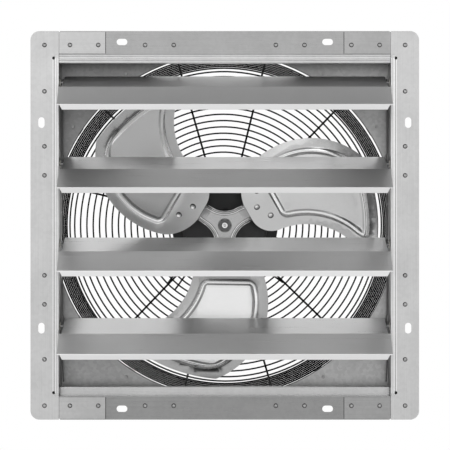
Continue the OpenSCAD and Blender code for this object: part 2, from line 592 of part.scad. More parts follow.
// Motor: shell, end shields with bearing seats and lugs, tie bolts, stator and windings.
gland_d = 12;
gland_y = (mount_y + mount_t + shell_end) / 2 + 2;
shell_t = 1.5;
module at_gland() translate([0, gland_y, 0]) rotate([0, 22.5, 0]) mirror([0, 0, 1]) children();
module motor_shell() color([0.12, 0.12, 0.13]) difference() {
    inward(shell_y) difference() {
        cylinder(r = motor_r, h = shell_end - shell_y);
        translate([0, 0, -1]) cylinder(r = motor_r - shell_t, h = shell_end - shell_y + 2);
    }
    at_gland() cylinder(d = gland_d + 2 * fit, h = motor_r + 10, $fn = 32);
}
module shield() difference() {
    union() {
        rotate_extrude() polygon([[0, 0], [23, 0], [25, 2], [25, 5], [motor_r - 12, 9], [motor_r - 4, 12],
            [motor_r, 17 - seat], [motor_r - shell_t - seat, 17 - seat], [motor_r - shell_t - seat, 21],
            [motor_r - 4, 21], [motor_r - 4, 16], [motor_r - 13, 12.5], [bearing_d / 2 + 4, 8.5],
            [bearing_d / 2 + 4, bearing_w + 4], [0, bearing_w + 4]]);
        lug_places() translate([0, 0, 9]) cylinder(r = 6, h = 7.5, $fn = 32);
        for (q = [0:90:270]) rotate(q) translate([motor_r - 6, -6, 12]) cube([13, 12, 4.5]);
    }
    translate([0, 0, 3]) cylinder(r = bearing_d / 2 + fit, h = 20);
    translate([0, 0, -1]) cylinder(r = shaft_d / 2 + 1, h = 20);
    lug_places() cylinder(d = bolt_d + 0.4, h = 60, center = true, $fn = 24);
}
module motor_front_shield() color([0.16, 0.16, 0.17]) inward(shield_y) shield();
module motor_rear_shield() color([0.16, 0.16, 0.17]) facing(motor_end) shield();
module motor_tie_bolts() color("gray") inward(0) lug_places() {
    translate([0, 0, shield_y + 9 - seat - 4]) hexagon(8, 4);
    translate([0, 0, shield_y + 5.5]) cylinder(d = bolt_d, h = motor_l - 11 + 3, $fn = 24);
    translate([0, 0, mount_y - seat - 4]) hexagon(8, 4);
    translate([0, 0, mount_y + mount_t + seat]) hexagon(8, 4);
    translate([0, 0, motor_end - 9 + seat]) hexagon(8, 4);
}
rotor_r = 32;
core_y = shell_y + 9;
core_l = shell_end - shell_y - 18;
module motor_stator() color("darkslategray") inward(core_y) difference() {
    cylinder(r = motor_r - shell_t - seat, h = core_l);
    translate([0, 0, -1]) cylinder(r = rotor_r + 0.5, h = core_l + 2);
}
module motor_windings() color("sandybrown") for (y = [core_y - 7 - seat, core_y + core_l + seat])
    inward(y) difference() {
        cylinder(r = motor_r - 12, h = 7);
        translate([0, 0, -1]) cylinder(r = rotor_r + 4, h = 9);
    }
module motor_bearings() color("lightsteelblue") for (y = [shield_y + 3 + seat, motor_end - 3 - seat - bearing_w])
    inward(y) difference() {
        cylinder(d = bearing_d, h = bearing_w);
        translate([0, 0, -1]) cylinder(d = shaft_d + 2 * fit, h = bearing_w + 2);
        for (z = [-1, bearing_w - 1.2]) translate([0, 0, z]) difference() {
            cylinder(d = bearing_d - 6, h = 2.2);
            translate([0, 0, -1]) cylinder(d = shaft_d + 5, h = 5);
        }
    }
module cable_gland() color("black") at_gland() difference() {
    union() {
        translate([0, 0, motor_r - shell_t + 0.4]) cylinder(d = gland_d, h = 5, $fn = 32);
        translate([0, 0, motor_r + 0.1]) hexagon(16, 5);
        translate([0, 0, motor_r + 5]) cylinder(d1 = 15, d2 = 12, h = 11, $fn = 32);
    }
    translate([0, 0, motor_r + 3]) cylinder(d = 6.5, h = 30, $fn = 32);
}

// Rotating parts: shaft and rotor.
module motor_shaft() color("lightgray") inward(0) {
    translate([0, 0, hub_y - washer_t - 14]) cylinder(d = stud_d, h = spider_t + 2 * washer_t + 16, $fn = 48);
    translate([0, 0, hub_y + spider_t + washer_t + 2 * seat]) cylinder(d = shaft_d, h = motor_end - 6 - hub_y - spider_t - washer_t, $fn = 48);
    translate([0, 0, shield_y + 3 + bearing_w + 2 * seat + 0.5]) cylinder(d = shaft_d + 4, h = motor_l - 2 * (3.5 + bearing_w + 2 * seat), $fn = 48);
}
module motor_rotor() color("slategray") inward(core_y) difference() {
    union() {
        cylinder(r = rotor_r, h = core_l);
        translate([0, 0, -4]) cylinder(r = rotor_r - 3, h = core_l + 8);
    }
    translate([0, 0, -6]) cylinder(d = shaft_d + 4 + 2 * seat, h = core_l + 12);
}

// Fan frame: it looks at the shutter, with the axis at its origin.
module fan_frame(turn = 0) facing(hub_y) rotate(turn) children();
camber_mid = camber_out * [-sin(blade_pitch), cos(blade_pitch)];
module camber(r, t) translate([0, camber_mid[0], camber_mid[1]]) rotate([0, 90, 0]) difference() {
    cylinder(r = r + t, h = fan_d / 2 + 5, $fn = 360);
    translate([0, 0, -1]) cylinder(r = r, h = fan_d / 2 + 7, $fn = 360);
}
function camber_z(v) = camber_mid[1] - sqrt(camber_out * camber_out - pow(v - camber_mid[0], 2));
function camber_tilt(v) = asin((v - camber_mid[0]) / camber_out);

// Outline of a blade, its root across the arm, all edges moved in by a margin.
tip_turn = 40;
edge_k = fan_d / 462;                           // Both edge arcs keep their shape at another diameter
module blade_outline(in = 0, root = blade_root) difference() {
    intersection() {
        circle(r = fan_d / 2 - in, $fn = 360);
        translate([115, -60.4] * edge_k) circle(r = 124.8 * edge_k - in, $fn = 180);
        translate([root, -fan_d / 2]) square([fan_d / 2, fan_d]);
    }
    translate([56.4, -148.3] * edge_k) circle(r = 102.2 * edge_k + in, $fn = 180);
    rotate(-tip_turn) translate([0, -fan_d]) square([fan_d, fan_d + in]);
    if (in == 0) {
        translate([root - 1, 2.3]) difference() {
            square([100.2 - root, 70]);
            translate([100.2 - root + 1, 0]) circle(r = 62.2, $fn = 120);
        }
        translate([root - 1, -60]) difference() {
            square([34, 47]);
            translate([35, 47]) circle(r = 34.2, $fn = 96);
        }
    }
}
module blade(turn) color("lightgray") fan_frame(turn) {
    panel_root = blade_root + 45;
    difference() {
        union() {
            intersection() {
                camber(camber_r, blade_t);
                translate([0, 0, -90]) linear_extrude(180) difference() {
                    blade_outline();
                    blade_outline(18 + blade_t, panel_root);
                }
            }
            intersection() {
                camber(camber_r - panel_h, blade_t);
                translate([0, 0, -90]) linear_extrude(180) blade_outline(18, panel_root);
            }
            intersection() {
                camber(camber_r - panel_h, panel_h + blade_t);
                translate([0, 0, -90]) linear_extrude(180) difference() {
                    blade_outline(18, panel_root);
                    blade_outline(18 + blade_t, panel_root + blade_t);
                }
            }
        }
        blade_rivet_places() cylinder(d = 4 + 2 * fit, h = 12, center = true, $fn = 24);
    }
}
module fan_blade_a() blade(arm_at[0]);
module fan_blade_b() blade(arm_at[1]);
module fan_blade_c() blade(arm_at[2]);

// Blade rivets sit square to the camber: one on the arm's line and two beyond it.
rivet_spots = [[55.5, 0], [67.3, -21.1], [67.3, 21.1]];
module blade_rivet_places() for (p = rivet_spots)
    translate([p[0], p[1], camber_z(p[1])]) rotate([camber_tilt(p[1]), 0, 0]) children();
module blade_rivets() color("whitesmoke") for (turn = arm_at) fan_frame(turn)
    blade_rivet_places() translate([0, 0, blade_t]) rivet(blade_rivet_d, 4, blade_t + spider_t + seat);

// Spider: a star with hollow flanks and raised rims, and a curved pad under each blade.
neck_l = 11;
neck_at = blade_root - neck_l - 0.5;
hollow_at = 57.3;                               // From the axis to the middle of a hollow flank
hollow_r = hollow_at * sin(60) - arm_w / 2;
module hollows(grow = 0) for (a = arm_at) rotate(a + 60) translate([hollow_at, 0]) circle(r = hollow_r + grow);
module star() difference() {
    circle(r = 42);
    hollows();
    for (a = arm_at) rotate(a) translate([neck_at, -arm_w]) square([neck_l + 10, 2 * arm_w]);
}
module fan_spider() color("silver") difference() {
    union() {
        fan_frame() translate([0, 0, -spider_t]) linear_extrude(spider_t) star();
        fan_frame() linear_extrude(2) intersection() {
            star();
            hollows(1.8);
        }
        for (turn = arm_at) fan_frame(turn) {
            translate([neck_at, 0, -spider_t / 2]) rotate([90, 0, 90])
                linear_extrude(neck_l, twist = -blade_pitch, slices = 6, $fn = 8) square([arm_w, spider_t], center = true);
            intersection() {
                camber(camber_out + seat, spider_t);
                translate([0, 0, -30]) linear_extrude(60) {
                    translate([neck_at + neck_l, -arm_w / 2]) square([22, arm_w]);
                    translate([56, -20]) square([21, 40]);
                    for (v = [-20, 20]) translate([66.5, v]) circle(r = 10.5);
                }
            }
        }
    }
    fan_frame() translate([0, 0, -10]) cylinder(d = stud_d + 2 * fit, h = 20, $fn = 48);
    for (turn = arm_at) fan_frame(turn) blade_rivet_places() cylinder(d = 4 + 2 * fit, h = 12, center = true, $fn = 24);
}
module hub_washers() color("gainsboro") for (z = [seat, -spider_t - washer_t - seat])
    fan_frame() translate([0, 0, z]) difference() {
        cylinder(d = 2.1 * stud_d, h = washer_t, $fn = 48);
        translate([0, 0, -1]) cylinder(d = stud_d + 2 * fit, h = washer_t + 2, $fn = 48);
    }
module hub_nut() color("gainsboro") fan_frame() translate([0, 0, washer_t + 2 * seat]) difference() {
    intersection() {
        hexagon(1.7 * stud_d, 0.8 * stud_d);
        cylinder(d1 = 3.2 * stud_d, d2 = 1.7 * stud_d, h = 0.8 * stud_d, $fn = 48);
    }
    translate([0, 0, -1]) cylinder(d = stud_d + 2 * fit, h = stud_d + 2, $fn = 48);
}

side_rail_left();
side_rail_right();
top_rail();
bottom_rail();
corner_plates();
frame_rivets();
sleeve_left();
sleeve_right();
sleeve_top();
sleeve_bottom();
venturi_panel();
panel_screws();
pivot_bushes();
louvre_1();
louvre_2();
louvre_3();
louvre_4();
louvre_pins_1();
louvre_pins_2();
louvre_pins_3();
louvre_pins_4();
tie_bar_left();
tie_bar_right();
guard_face_spiral();
guard_side_turns();
guard_ribs();
guard_clips();
guard_screws();
motor_mount();
mount_wires();
mount_saddles();
mount_bolts();
motor_shell();
motor_front_shield();
motor_rear_shield();
motor_tie_bolts();
motor_stator();
motor_windings();
motor_bearings();
cable_gland();
motor_shaft();
motor_rotor();
fan_spider();
fan_blade_a();
fan_blade_b();
fan_blade_c();
blade_rivets();
hub_washers();
hub_nut();
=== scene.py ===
"""Looks of the shutter exhaust fan: finishes, fine pieces, studio and camera."""

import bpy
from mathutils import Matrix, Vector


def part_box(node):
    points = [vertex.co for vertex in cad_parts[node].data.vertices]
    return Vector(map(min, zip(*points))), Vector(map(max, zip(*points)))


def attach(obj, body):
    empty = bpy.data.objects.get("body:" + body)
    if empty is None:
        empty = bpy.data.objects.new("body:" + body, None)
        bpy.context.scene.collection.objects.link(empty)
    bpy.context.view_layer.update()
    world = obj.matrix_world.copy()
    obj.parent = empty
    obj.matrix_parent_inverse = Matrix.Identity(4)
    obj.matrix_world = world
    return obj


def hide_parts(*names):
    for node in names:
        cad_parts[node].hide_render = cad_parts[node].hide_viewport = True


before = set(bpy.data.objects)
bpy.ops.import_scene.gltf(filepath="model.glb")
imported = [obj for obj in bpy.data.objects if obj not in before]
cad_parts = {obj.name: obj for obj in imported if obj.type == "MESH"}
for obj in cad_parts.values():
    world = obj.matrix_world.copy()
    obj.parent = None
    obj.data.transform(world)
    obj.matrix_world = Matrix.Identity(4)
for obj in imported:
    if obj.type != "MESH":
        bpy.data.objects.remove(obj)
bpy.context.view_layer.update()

import logging
import math
from dataclasses import dataclass
from enum import Enum
from typing import Callable, Iterable, Sequence

import bmesh
import bpy
from mathutils import Matrix, Vector
from mathutils.geometry import delaunay_2d_cdt

log = logging.getLogger("fan")
Socket = bpy.types.NodeSocket
Pair = tuple[float, float]
Triple = tuple[float, float, float]
Colour = Triple
PER_METRE = 1000  # Millimetres in a metre
FAR = 10.0  # Metres, beyond the whole part
SAME = 1e-7  # Metres within which two points are one
NOISE_RANGE = (0.3, 0.7)  # Where most of a noise texture's values lie
LIP_REACH = 0.2435  # Half height of the side rails' raised lips


class Grain(Enum):
    """Direction of the rolling or brushing marks, as noise scales along X, Y and Z."""

    ALONG_X = (5.0, 900.0, 900.0)
    ALONG_Y = (900.0, 5.0, 900.0)
    ALONG_Z = (900.0, 900.0, 5.0)
    EVEN = (320.0, 320.0, 320.0)


class Body(Enum):
    """Bodies that extra pieces ride on."""

    HOUSING = "housing"
    ROTOR = "rotor"


class Graph:
    """A material's node tree around one principled shader."""

    def __init__(self, name: str) -> None:
        """Start a material.

        Args:
            name: The material's name.
        """
        self.material = bpy.data.materials.new(name)
        self.material.use_nodes = True
        self.nodes = self.material.node_tree.nodes
        self.links = self.material.node_tree.links
        self.shader = self.nodes["Principled BSDF"]

    def add(self, kind: str, **settings: object) -> bpy.types.Node:
        """Add a node.

        Args:
            kind: The node's type.
            settings: Attributes to set on it.

        Returns:
            The new node.
        """
        node = self.nodes.new(kind)
        for key, value in settings.items():
            setattr(node, key, value)
        return node

    def wire(self, start: Socket, end: Socket) -> None:
        """Link two sockets.

        Args:
            start: The output.
            end: The input.
        """
        self.links.new(start, end)

    def noise(self, scales: Sequence[float], size: float, detail: float = 5.0,
              roughness: float = 0.55) -> Socket:
        """Noise in the part's own metres, stretched per axis.

        Args:
            scales: Stretch along X, Y and Z.
            size: Overall noise scale.
            detail: Octaves of the noise.
            roughness: Weight of the finer octaves.

        Returns:
            The noise value's socket.
        """
        coord = self.add("ShaderNodeTexCoord")
        mapping = self.add("ShaderNodeMapping")
        mapping.inputs["Scale"].default_value = tuple(scales)
        self.wire(coord.outputs["Object"], mapping.inputs["Vector"])
        noise = self.add("ShaderNodeTexNoise")
        noise.inputs["Scale"].default_value = size
        noise.inputs["Detail"].default_value = detail
        noise.inputs["Roughness"].default_value = roughness
        self.wire(mapping.outputs["Vector"], noise.inputs["Vector"])
        return noise.outputs["Fac"]

    def cells(self, scale: float) -> Socket:
        """Random value per cell, as on zinc crystals.

        Args:
            scale: Cells per metre.

        Returns:
            The value's socket.
        """
        coord = self.add("ShaderNodeTexCoord")
        cells = self.add("ShaderNodeTexVoronoi")
        cells.inputs["Scale"].default_value = scale
        self.wire(coord.outputs["Object"], cells.inputs["Vector"])
        grey = self.add("ShaderNodeRGBToBW")
        self.wire(cells.outputs["Color"], grey.inputs["Color"])
        return grey.outputs["Val"]

    def math(self, operation: str, a: Socket, b: Socket | float) -> Socket:
        """Combine two values.

        Args:
            operation: Name of the math operation.
            a: The first value's socket.
            b: The second value, a socket or a number.

        Returns:
            The result's socket.
        """
        node = self.add("ShaderNodeMath", operation=operation)
        self.wire(a, node.inputs[0])
        if isinstance(b, (int, float)):
            node.inputs[1].default_value = b
        else:
            self.wire(b, node.inputs[1])
        return node.outputs[0]

    def spread(self, value: Socket, low: float, high: float) -> Socket:
        """Map a noise value onto a range.

        Args:
            value: The value's socket.
            low: Result at the low end of the noise.
            high: Result at its high end.

        Returns:
            The result's socket.
        """
        node = self.add("ShaderNodeMapRange")
        node.inputs["From Min"].default_value = NOISE_RANGE[0]
        node.inputs["From Max"].default_value = NOISE_RANGE[1]
        node.inputs["To Min"].default_value = low
        node.inputs["To Max"].default_value = high
        self.wire(value, node.inputs["Value"])
        return node.outputs["Result"]

    def tint(self, value: Socket, dark: Colour, light: Colour) -> Socket:
        """Blend two colours by a value.

        Args:
            value: Blend from 0 to 1.
            dark: Colour at 0.
            light: Colour at 1.

        Returns:
            The colour's socket.
        """
        ramp = self.add("ShaderNodeValToRGB")
        ramp.color_ramp.elements[0].color = (*dark, 1.0)
        ramp.color_ramp.elements[1].color = (*light, 1.0)
        self.wire(value, ramp.inputs["Fac"])
        return ramp.outputs["Color"]

    def place(self, axis: str) -> Socket:
        """One coordinate of the shaded point in the part's frame, in metres.

        Args:
            axis: X, Y or Z.

        Returns:
            The coordinate's socket.
        """
        coord = self.add("ShaderNodeTexCoord")
        split = self.add("ShaderNodeSeparateXYZ")
        self.wire(coord.outputs["Object"], split.inputs["Vector"])
        return split.outputs[axis]

    def front(self) -> Socket:
        """The surface's normal along Y, which sets where rims get painted shade.

        Returns:
            The socket: 1 or -1 where the surface lies across the airflow, 0 at its rims.
        """
        shape = self.add("ShaderNodeNewGeometry")
        split = self.add("ShaderNodeSeparateXYZ")
        self.wire(shape.outputs["Normal"], split.inputs["Vector"])
        return split.outputs["Y"]

    def scaled(self, colour: Socket, share: Socket) -> Socket:
        """Multiply a colour by a value.

        Args:
            colour: The colour's socket.
            share: The value's socket.

        Returns:
            The new colour's socket.
        """
        node = self.add("ShaderNodeVectorMath", operation="SCALE")
        self.wire(colour, node.inputs[0])
        self.wire(share, node.inputs["Scale"])
        return node.outputs[0]

    def relief(self, height: Socket, depth: float, strength: float,
               edge: float) -> None:
        """Fine relief over softened edges.

        Args:
            height: The relief's socket.
            depth: Depth of the relief in metres.
            strength: Share of the relief that shows.
            edge: Radius of the softened edges in metres.
        """
        bevel = self.add("ShaderNodeBevel", samples=4)
        bevel.inputs["Radius"].default_value = edge
        bump = self.add("ShaderNodeBump")
        bump.inputs["Distance"].default_value = depth
        bump.inputs["Strength"].default_value = strength
        self.wire(height, bump.inputs["Height"])
        self.wire(bevel.outputs["Normal"], bump.inputs["Normal"])
        self.wire(bump.outputs["Normal"], self.shader.inputs["Normal"])


@dataclass(frozen=True)
class Fold:
    """Band of a sheet beyond a bend or along a lip, with its tone as a share of the sheet's, for
    painted light: darker bands are painted shade, lighter ones painted highlights.

    It lies from beyond to until off the middle along its axis, and within reach up and down.
    """

    axis: str
    beyond: float
    share: float
    until: float = FAR
    reach: float = FAR


@dataclass(frozen=True)
class SheetFinish:
    """Bare metal: grain, clouding and zinc crystals, with painted light and shade: a painted slope
    across the part, lit or shaded bands, and painted shade on rims.
    """

    name: str
    tone: float
    roughness: float = 0.36
    grain: Grain = Grain.ALONG_X
    streaks: float = 0.05
    clouds: float = 0.05
    crystals: float = 0.0
    crystal_scale: float = 220.0
    metallic: float = 1.0
    edge: float = 0.0004
    relief: float = 0.35
    # Painted light and shade: tone slope per metre along X and Z
    painted_slant: Pair = (0.0, 0.0)
    # Bands of painted light and shade, see Fold
    folds: tuple[Fold, ...] = ()
    # Painted shade: share of the tone left where the surface turns away from Y
    rim: float = 1.0
    rim_shade_power: float = 6.0
    depth: float = 0.00002
    sheen: float = 0.05

    def shade(self, graph: Graph, level: Socket) -> Socket:
        """Turn a level about 0.5 into the sheet's colour, with its painted slope of light and shade,
        its lit or shaded bands and its painted shade on rims.

        Args:
            graph: The material's graph.
            level: The grain, clouding and crystals.

        Returns:
            The colour's socket.
        """
        low, high = self.tone * 0.5, self.tone * 1.5
        colour = graph.tint(level, (low, low, low), (high, high, high))
        shares = []
        # Painted light and shade sloping across the part
        if any(self.painted_slant):
            lean = graph.math("ADD", graph.math("MULTIPLY", graph.place("X"), self.painted_slant[0]),
                              graph.math("MULTIPLY", graph.place("Z"), self.painted_slant[1]))
            shares.append(graph.math("ADD", lean, 1.0))
        # Bands lit or shaded by their own tone: painted light and shade
        for fold in self.folds:
            far = graph.math("ABSOLUTE", graph.place(fold.axis), 0.0)
            inside = graph.math("MULTIPLY", graph.math("GREATER_THAN", far, fold.beyond),
                                graph.math("LESS_THAN", far, fold.until))
            if fold.reach < FAR:
                rise = graph.math("ABSOLUTE", graph.place("Z"), 0.0)
                inside = graph.math("MULTIPLY", inside, graph.math("LESS_THAN", rise, fold.reach))
            shares.append(graph.math("ADD", graph.math("MULTIPLY", inside, fold.share - 1.0), 1.0))
        # Painted shade on rims, where the normal turns away from Y
        if self.rim < 1.0:
            flat = graph.math("POWER", graph.math("ABSOLUTE", graph.front(), 0.0), self.rim_shade_power)
            shares.append(graph.math("ADD", graph.math("MULTIPLY", flat, 1.0 - self.rim), self.rim))
        for share in shares:
            colour = graph.scaled(colour, share)
        return colour

    def material(self) -> bpy.types.Material:
        """Build the finish's material.

        Returns:
            The material.
        """
        graph = Graph(self.name)
        streak = graph.noise(self.grain.value, 1.0, 4.0, 0.6)
        cloud = graph.noise((1.0, 1.0, 1.0), 14.0, 3.0, 0.5)
        mixed = graph.math("ADD", graph.spread(streak, -self.streaks, self.streaks),
                           graph.spread(cloud, -self.clouds, self.clouds))
        if self.crystals:
            cell = graph.spread(graph.cells(self.crystal_scale), -self.crystals, self.crystals)
            mixed = graph.math("ADD", mixed, cell)
        level = graph.math("ADD", mixed, 0.5)
        graph.wire(self.shade(graph, level), graph.shader.inputs["Base Color"])
        rough = graph.spread(streak, self.roughness - self.sheen, self.roughness + self.sheen)
        graph.wire(rough, graph.shader.inputs["Roughness"])
        graph.shader.inputs["Metallic"].default_value = self.metallic
        graph.relief(streak, self.depth, self.relief, self.edge)
        return graph.material


@dataclass(frozen=True)
class PaintFinish:
    """Powder coat or enamel over steel, with a fine orange-peel skin."""

    name: str
    colour: Colour
    roughness: float = 0.42
    peel: float = 900.0
    depth: float = 0.00004
    coat: float = 0.15
    specular: float = 0.5
    edge: float = 0.0005
    mottle: Pair = (0.8, 1.25)
    sheen: float = 0.06
    relief: float = 0.5
    coat_roughness: float = 0.2

    def material(self) -> bpy.types.Material:
        """Build the finish's material.

        Returns:
            The material.
        """
        graph = Graph(self.name)
        skin = graph.noise((1.0, 1.0, 1.0), self.peel, 2.0)
        cloud = graph.noise((1.0, 1.0, 1.0), 20.0, 3.0)
        dark, light = (tuple(c * share for c in self.colour) for share in self.mottle)
        graph.wire(graph.tint(graph.spread(cloud, 0.0, 1.0), dark, light),
                   graph.shader.inputs["Base Color"])
        graph.wire(graph.spread(skin, self.roughness - self.sheen, self.roughness + self.sheen),
                   graph.shader.inputs["Roughness"])
        graph.shader.inputs["Specular IOR Level"].default_value = self.specular
        graph.shader.inputs["Coat Weight"].default_value = self.coat
        graph.shader.inputs["Coat Roughness"].default_value = self.coat_roughness
        graph.relief(skin, self.depth, self.relief, self.edge)
        return graph.material


def pieces_of(node: str) -> list[tuple[Vector, Vector]]:
    """Find the boxes of a modelled node's separate solids.

    Args:
        node: The node's name.

    Returns:
        The lowest and highest corner of each solid.
    """
    mesh = bmesh.new()
    mesh.from_mesh(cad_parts[node].data)
    bmesh.ops.remove_doubles(mesh, verts=mesh.verts, dist=SAME)
    seen: set[bmesh.types.BMVert] = set()
    boxes = []
    for start in mesh.verts:
        if start in seen:
            continue
        group, queue = [], [start]
        seen.add(start)
        while queue:
            vert = queue.pop()
            group.append(vert.co)
            for edge in vert.link_edges:
                other = edge.other_vert(vert)
                if other not in seen:
                    seen.add(other)
                    queue.append(other)
        boxes.append((Vector(min(c[i] for c in group) for i in range(3)),
                      Vector(max(c[i] for c in group) for i in range(3))))
    mesh.free()
    return boxes


def turn_profile(mesh: bmesh.types.BMesh, profile: Sequence[Pair], place: Vector,
                 axis: Vector, steps: int = 24) -> None:
    """Add a turned body to a mesh.

    Args:
        mesh: The mesh to add to.
        profile: Radius and height of each point, from one end of the axis to the other.
        place: Where the height is zero.
        axis: Direction of growing height.
        steps: Facets round the axis.
    """
    turn = axis.normalized().to_track_quat("Z", "Y").to_matrix()
    rows = []
    for radius, height in profile:
        if radius < SAME:
            rows.append([mesh.verts.new(place + turn @ Vector((0, 0, height)))])
            continue
        angles = (2 * math.pi * k / steps for k in range(steps))
        ring = (Vector((radius * math.cos(a), radius * math.sin(a), height)) for a in angles)
        rows.append([mesh.verts.new(place + turn @ point) for point in ring])
    for low, high in zip(rows, rows[1:]):
        for k in range(steps):
            j = (k + 1) % steps
            corners = list(dict.fromkeys((low[k % len(low)], low[j % len(low)],
                                          high[j % len(high)], high[k % len(high)])))
            if len(corners) > 2:
                mesh.faces.new(corners)


def put(name: str, data: bpy.types.ID) -> bpy.types.Object:
    """Put a new object into the scene.

    Args:
        name: The object's name.
        data: Its mesh, lamp or camera.

    Returns:
        The object.
    """
    item = bpy.data.objects.new(name, data)
    bpy.context.scene.collection.objects.link(item)
    return item


class Assembly:
    """A group of pieces that share finishes and a body."""

    body: Body = Body.HOUSING
    sharp_angle: float = 38.0

    def dress(self, nodes: Iterable[str], finish: SheetFinish | PaintFinish) -> None:
        """Put a finish on modelled pieces.

        Args:
            nodes: Names of the pieces.
            finish: Their finish.
        """
        material = finish.material()
        for name in nodes:
            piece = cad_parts[name]
            piece.data.materials.clear()
            piece.data.materials.append(material)
            log.info("dressed %s in %s", name, material.name)

    def piece(self, name: str, mesh: bmesh.types.BMesh, finish: bpy.types.Material,
              body: str, slot: str) -> bpy.types.Object:
        """Turn a mesh into a piece that rides on a body.

        Args:
            name: The piece's name.
            mesh: Its mesh, in metres in the part's frame.
            finish: Its material.
            body: The body that it rides on.
            slot: Material slot for its finish; not used.

        Returns:
            The new object.
        """
        data = bpy.data.meshes.new(name)
        bmesh.ops.recalc_face_normals(mesh, faces=mesh.faces)
        for face in mesh.faces:
            face.smooth = True
        mesh.to_mesh(data)
        mesh.free()
        data.set_sharp_from_angle(angle=math.radians(self.sharp_angle))
        data.materials.append(finish)
        item = put(name, data)
        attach(item, body)
        log.info("built %s on %s, %d faces", name, body, len(data.polygons))
        return item

    def build(self) -> None:
        """Build and dress the group."""
        raise NotImplementedError


@dataclass
class WallFrame(Assembly):
    """Flange, rails, corner plates and rivets."""

    # The sides, rails, flange strips and deep walls are one kind of sheet; their different tones are
    # painted light and shade
    side_tone: float = 0.63
    wall_shade_share: float = 0.42
    wall_from: float = 0.004
    # Painted highlights and a painted dark line along the side rails' lips
    lip_painted_lines: tuple[Fold, ...] = (
        Fold("X", 0.2493, 1.6, 0.2502, LIP_REACH), Fold("X", 0.2477, 0.6, 0.2486, LIP_REACH),
        Fold("X", 0.2452, 1.4, 0.247, LIP_REACH), Fold("X", 0.2418, 1.3, 0.2432, LIP_REACH))
    # Flange strips above and below the opening: tones of painted light and shade
    strip_from: float = 0.2485
    top_tone: float = 0.425
    bottom_tone: float = 0.33
    rail_tones: Pair = (0.72, 0.625)
    plate_tone: float = 0.49
    # Painted light and shade sloping across the corner plates
    plate_shade_slant: Pair = (-0.75, 0.2)
    hole: float = 0.38
    shank_r: float = 0.0016
    edge_w: float = 0.0009
    edge_steps: Triple = (0.0001, 0.0003, 0.0008)

    def rivet_profile(self, head_r: float, rise: float, depth: float) -> list[Pair]:
        """Outline of a pulled rivet: domed head, mandrel hole, shank and set tail.

        Args:
            head_r: Radius of the head.
            rise: Height of the head.
            depth: Length behind the head.

        Returns:
            Radius and height of each point, from the front to the tail.
        """
        hole, tail = self.hole * head_r, 1.35 * self.shank_r
        mandrel = [(0.0, 0.5 * rise), (0.55 * hole, 0.46 * rise), (0.62 * hole, 0.12 * rise),
                   (0.92 * hole, 0.12 * rise), (hole, 0.9 * rise), (1.22 * hole, 0.97 * rise)]
        dome = [(0.62 * head_r, 0.83 * rise), (0.8 * head_r, 0.58 * rise), (0.93 * head_r, 0.3 * rise),
                (head_r, 0.08 * rise), (head_r, 0.0)]
        shank = [(self.shank_r, 0.0), (self.shank_r, 0.0011 - depth), (tail, 0.001 - depth),
                 (tail, 0.0003 - depth), (0.7 * tail, -depth), (0.0, -depth)]
        return mandrel + dome + shank

    def rivets(self) -> None:
        """Pulled rivets in the place of the plain ones."""
        mesh = bmesh.new()
        for low, high in pieces_of("frame_rivets"):
            head_r = (high.x - low.x) / 2
            rise = head_r / 2
            middle = Vector(((low.x + high.x) / 2, low.y + rise, (low.z + high.z) / 2))
            profile = self.rivet_profile(head_r, rise, high.y - low.y - rise)
            turn_profile(mesh, profile, middle, Vector((0, -1, 0)))
        # Painted shade: the domes go nearly black where they turn away from Y
        finish = SheetFinish("rivet_metal", 0.6, 0.24, Grain.EVEN, clouds=0.12, edge=0.0001, rim=0.02)
        rivets = self.piece("pulled_rivets", mesh, finish.material(), Body.HOUSING.value, "rivet_metal")
        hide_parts("frame_rivets")

    def plate_edge_shadows(self) -> None:
        """Dark strips along the inner ends of the corner plates: each plate's raw sheared edge, widened
        into a painted shadow.
        """
        mesh = bmesh.new()
        for low, high in pieces_of("corner_plates"):
            inner = min(abs(low.x), abs(high.x))
            side = 1.0 if low.x + high.x > 0 else -1.0
            up = 1.0 if low.z + high.z > 0 else -1.0
            near, far = sorted((abs(low.z), abs(high.z)))
            x0, x1 = side * (inner - self.edge_w), side * inner
            y0, y1, y2 = (low.y + step for step in self.edge_steps)
            outline = [(x0, y2), (x0, y1), ((x0 + x1) / 2, y0), (x1, y0), (x1, y2)]
            rows = [[mesh.verts.new((x, y, up * z)) for x, y in outline] for z in (near, far)]
            for k in range(len(outline)):
                j = (k + 1) % len(outline)
                mesh.faces.new([rows[0][k], rows[0][j], rows[1][j], rows[1][k]])
            for row in rows:
                mesh.faces.new(row)
        # Painted shadow: a dark strip wider than the plate's raw edge
        finish = SheetFinish("raw_edge_and_shadow", 0.07, 0.55, Grain.EVEN, metallic=0.6).material()
        self.piece("plate_edge_shadows", mesh, finish, Body.HOUSING.value, "frame_sheet")

    def build(self) -> None:
        """Dress the frame's sheets, whose tones carry painted light and shade, and build its rivets and
        the edge strips of painted shadow.
        """
        # Painted shade on the deep wall and painted lines along the lips
        self.dress(["side_rail_left", "side_rail_right"],
                   SheetFinish("side_sheet", self.side_tone, 0.34, Grain.ALONG_Z, crystals=0.02,
                               folds=(Fold("Y", self.wall_from, self.wall_shade_share), *self.lip_painted_lines)))
        # Top and bottom rails and their strips: tones of painted light and shade
        strips = zip(("top", "bottom"), self.rail_tones, (self.top_tone, self.bottom_tone))
        for side, tone, strip_tone in strips:
            self.dress([f"{side}_rail"],
                       SheetFinish(f"{side}_sheet", tone, 0.3, crystals=0.02,
                                   folds=(Fold("Z", self.strip_from, strip_tone / tone),)))
        # Painted light and shade sloping across the corner plates
        self.dress(["corner_plates"],
                   SheetFinish("corner_sheet", self.plate_tone, 0.32, crystals=0.02,
                               painted_slant=self.plate_shade_slant))
        self.rivets()
        self.plate_edge_shadows()


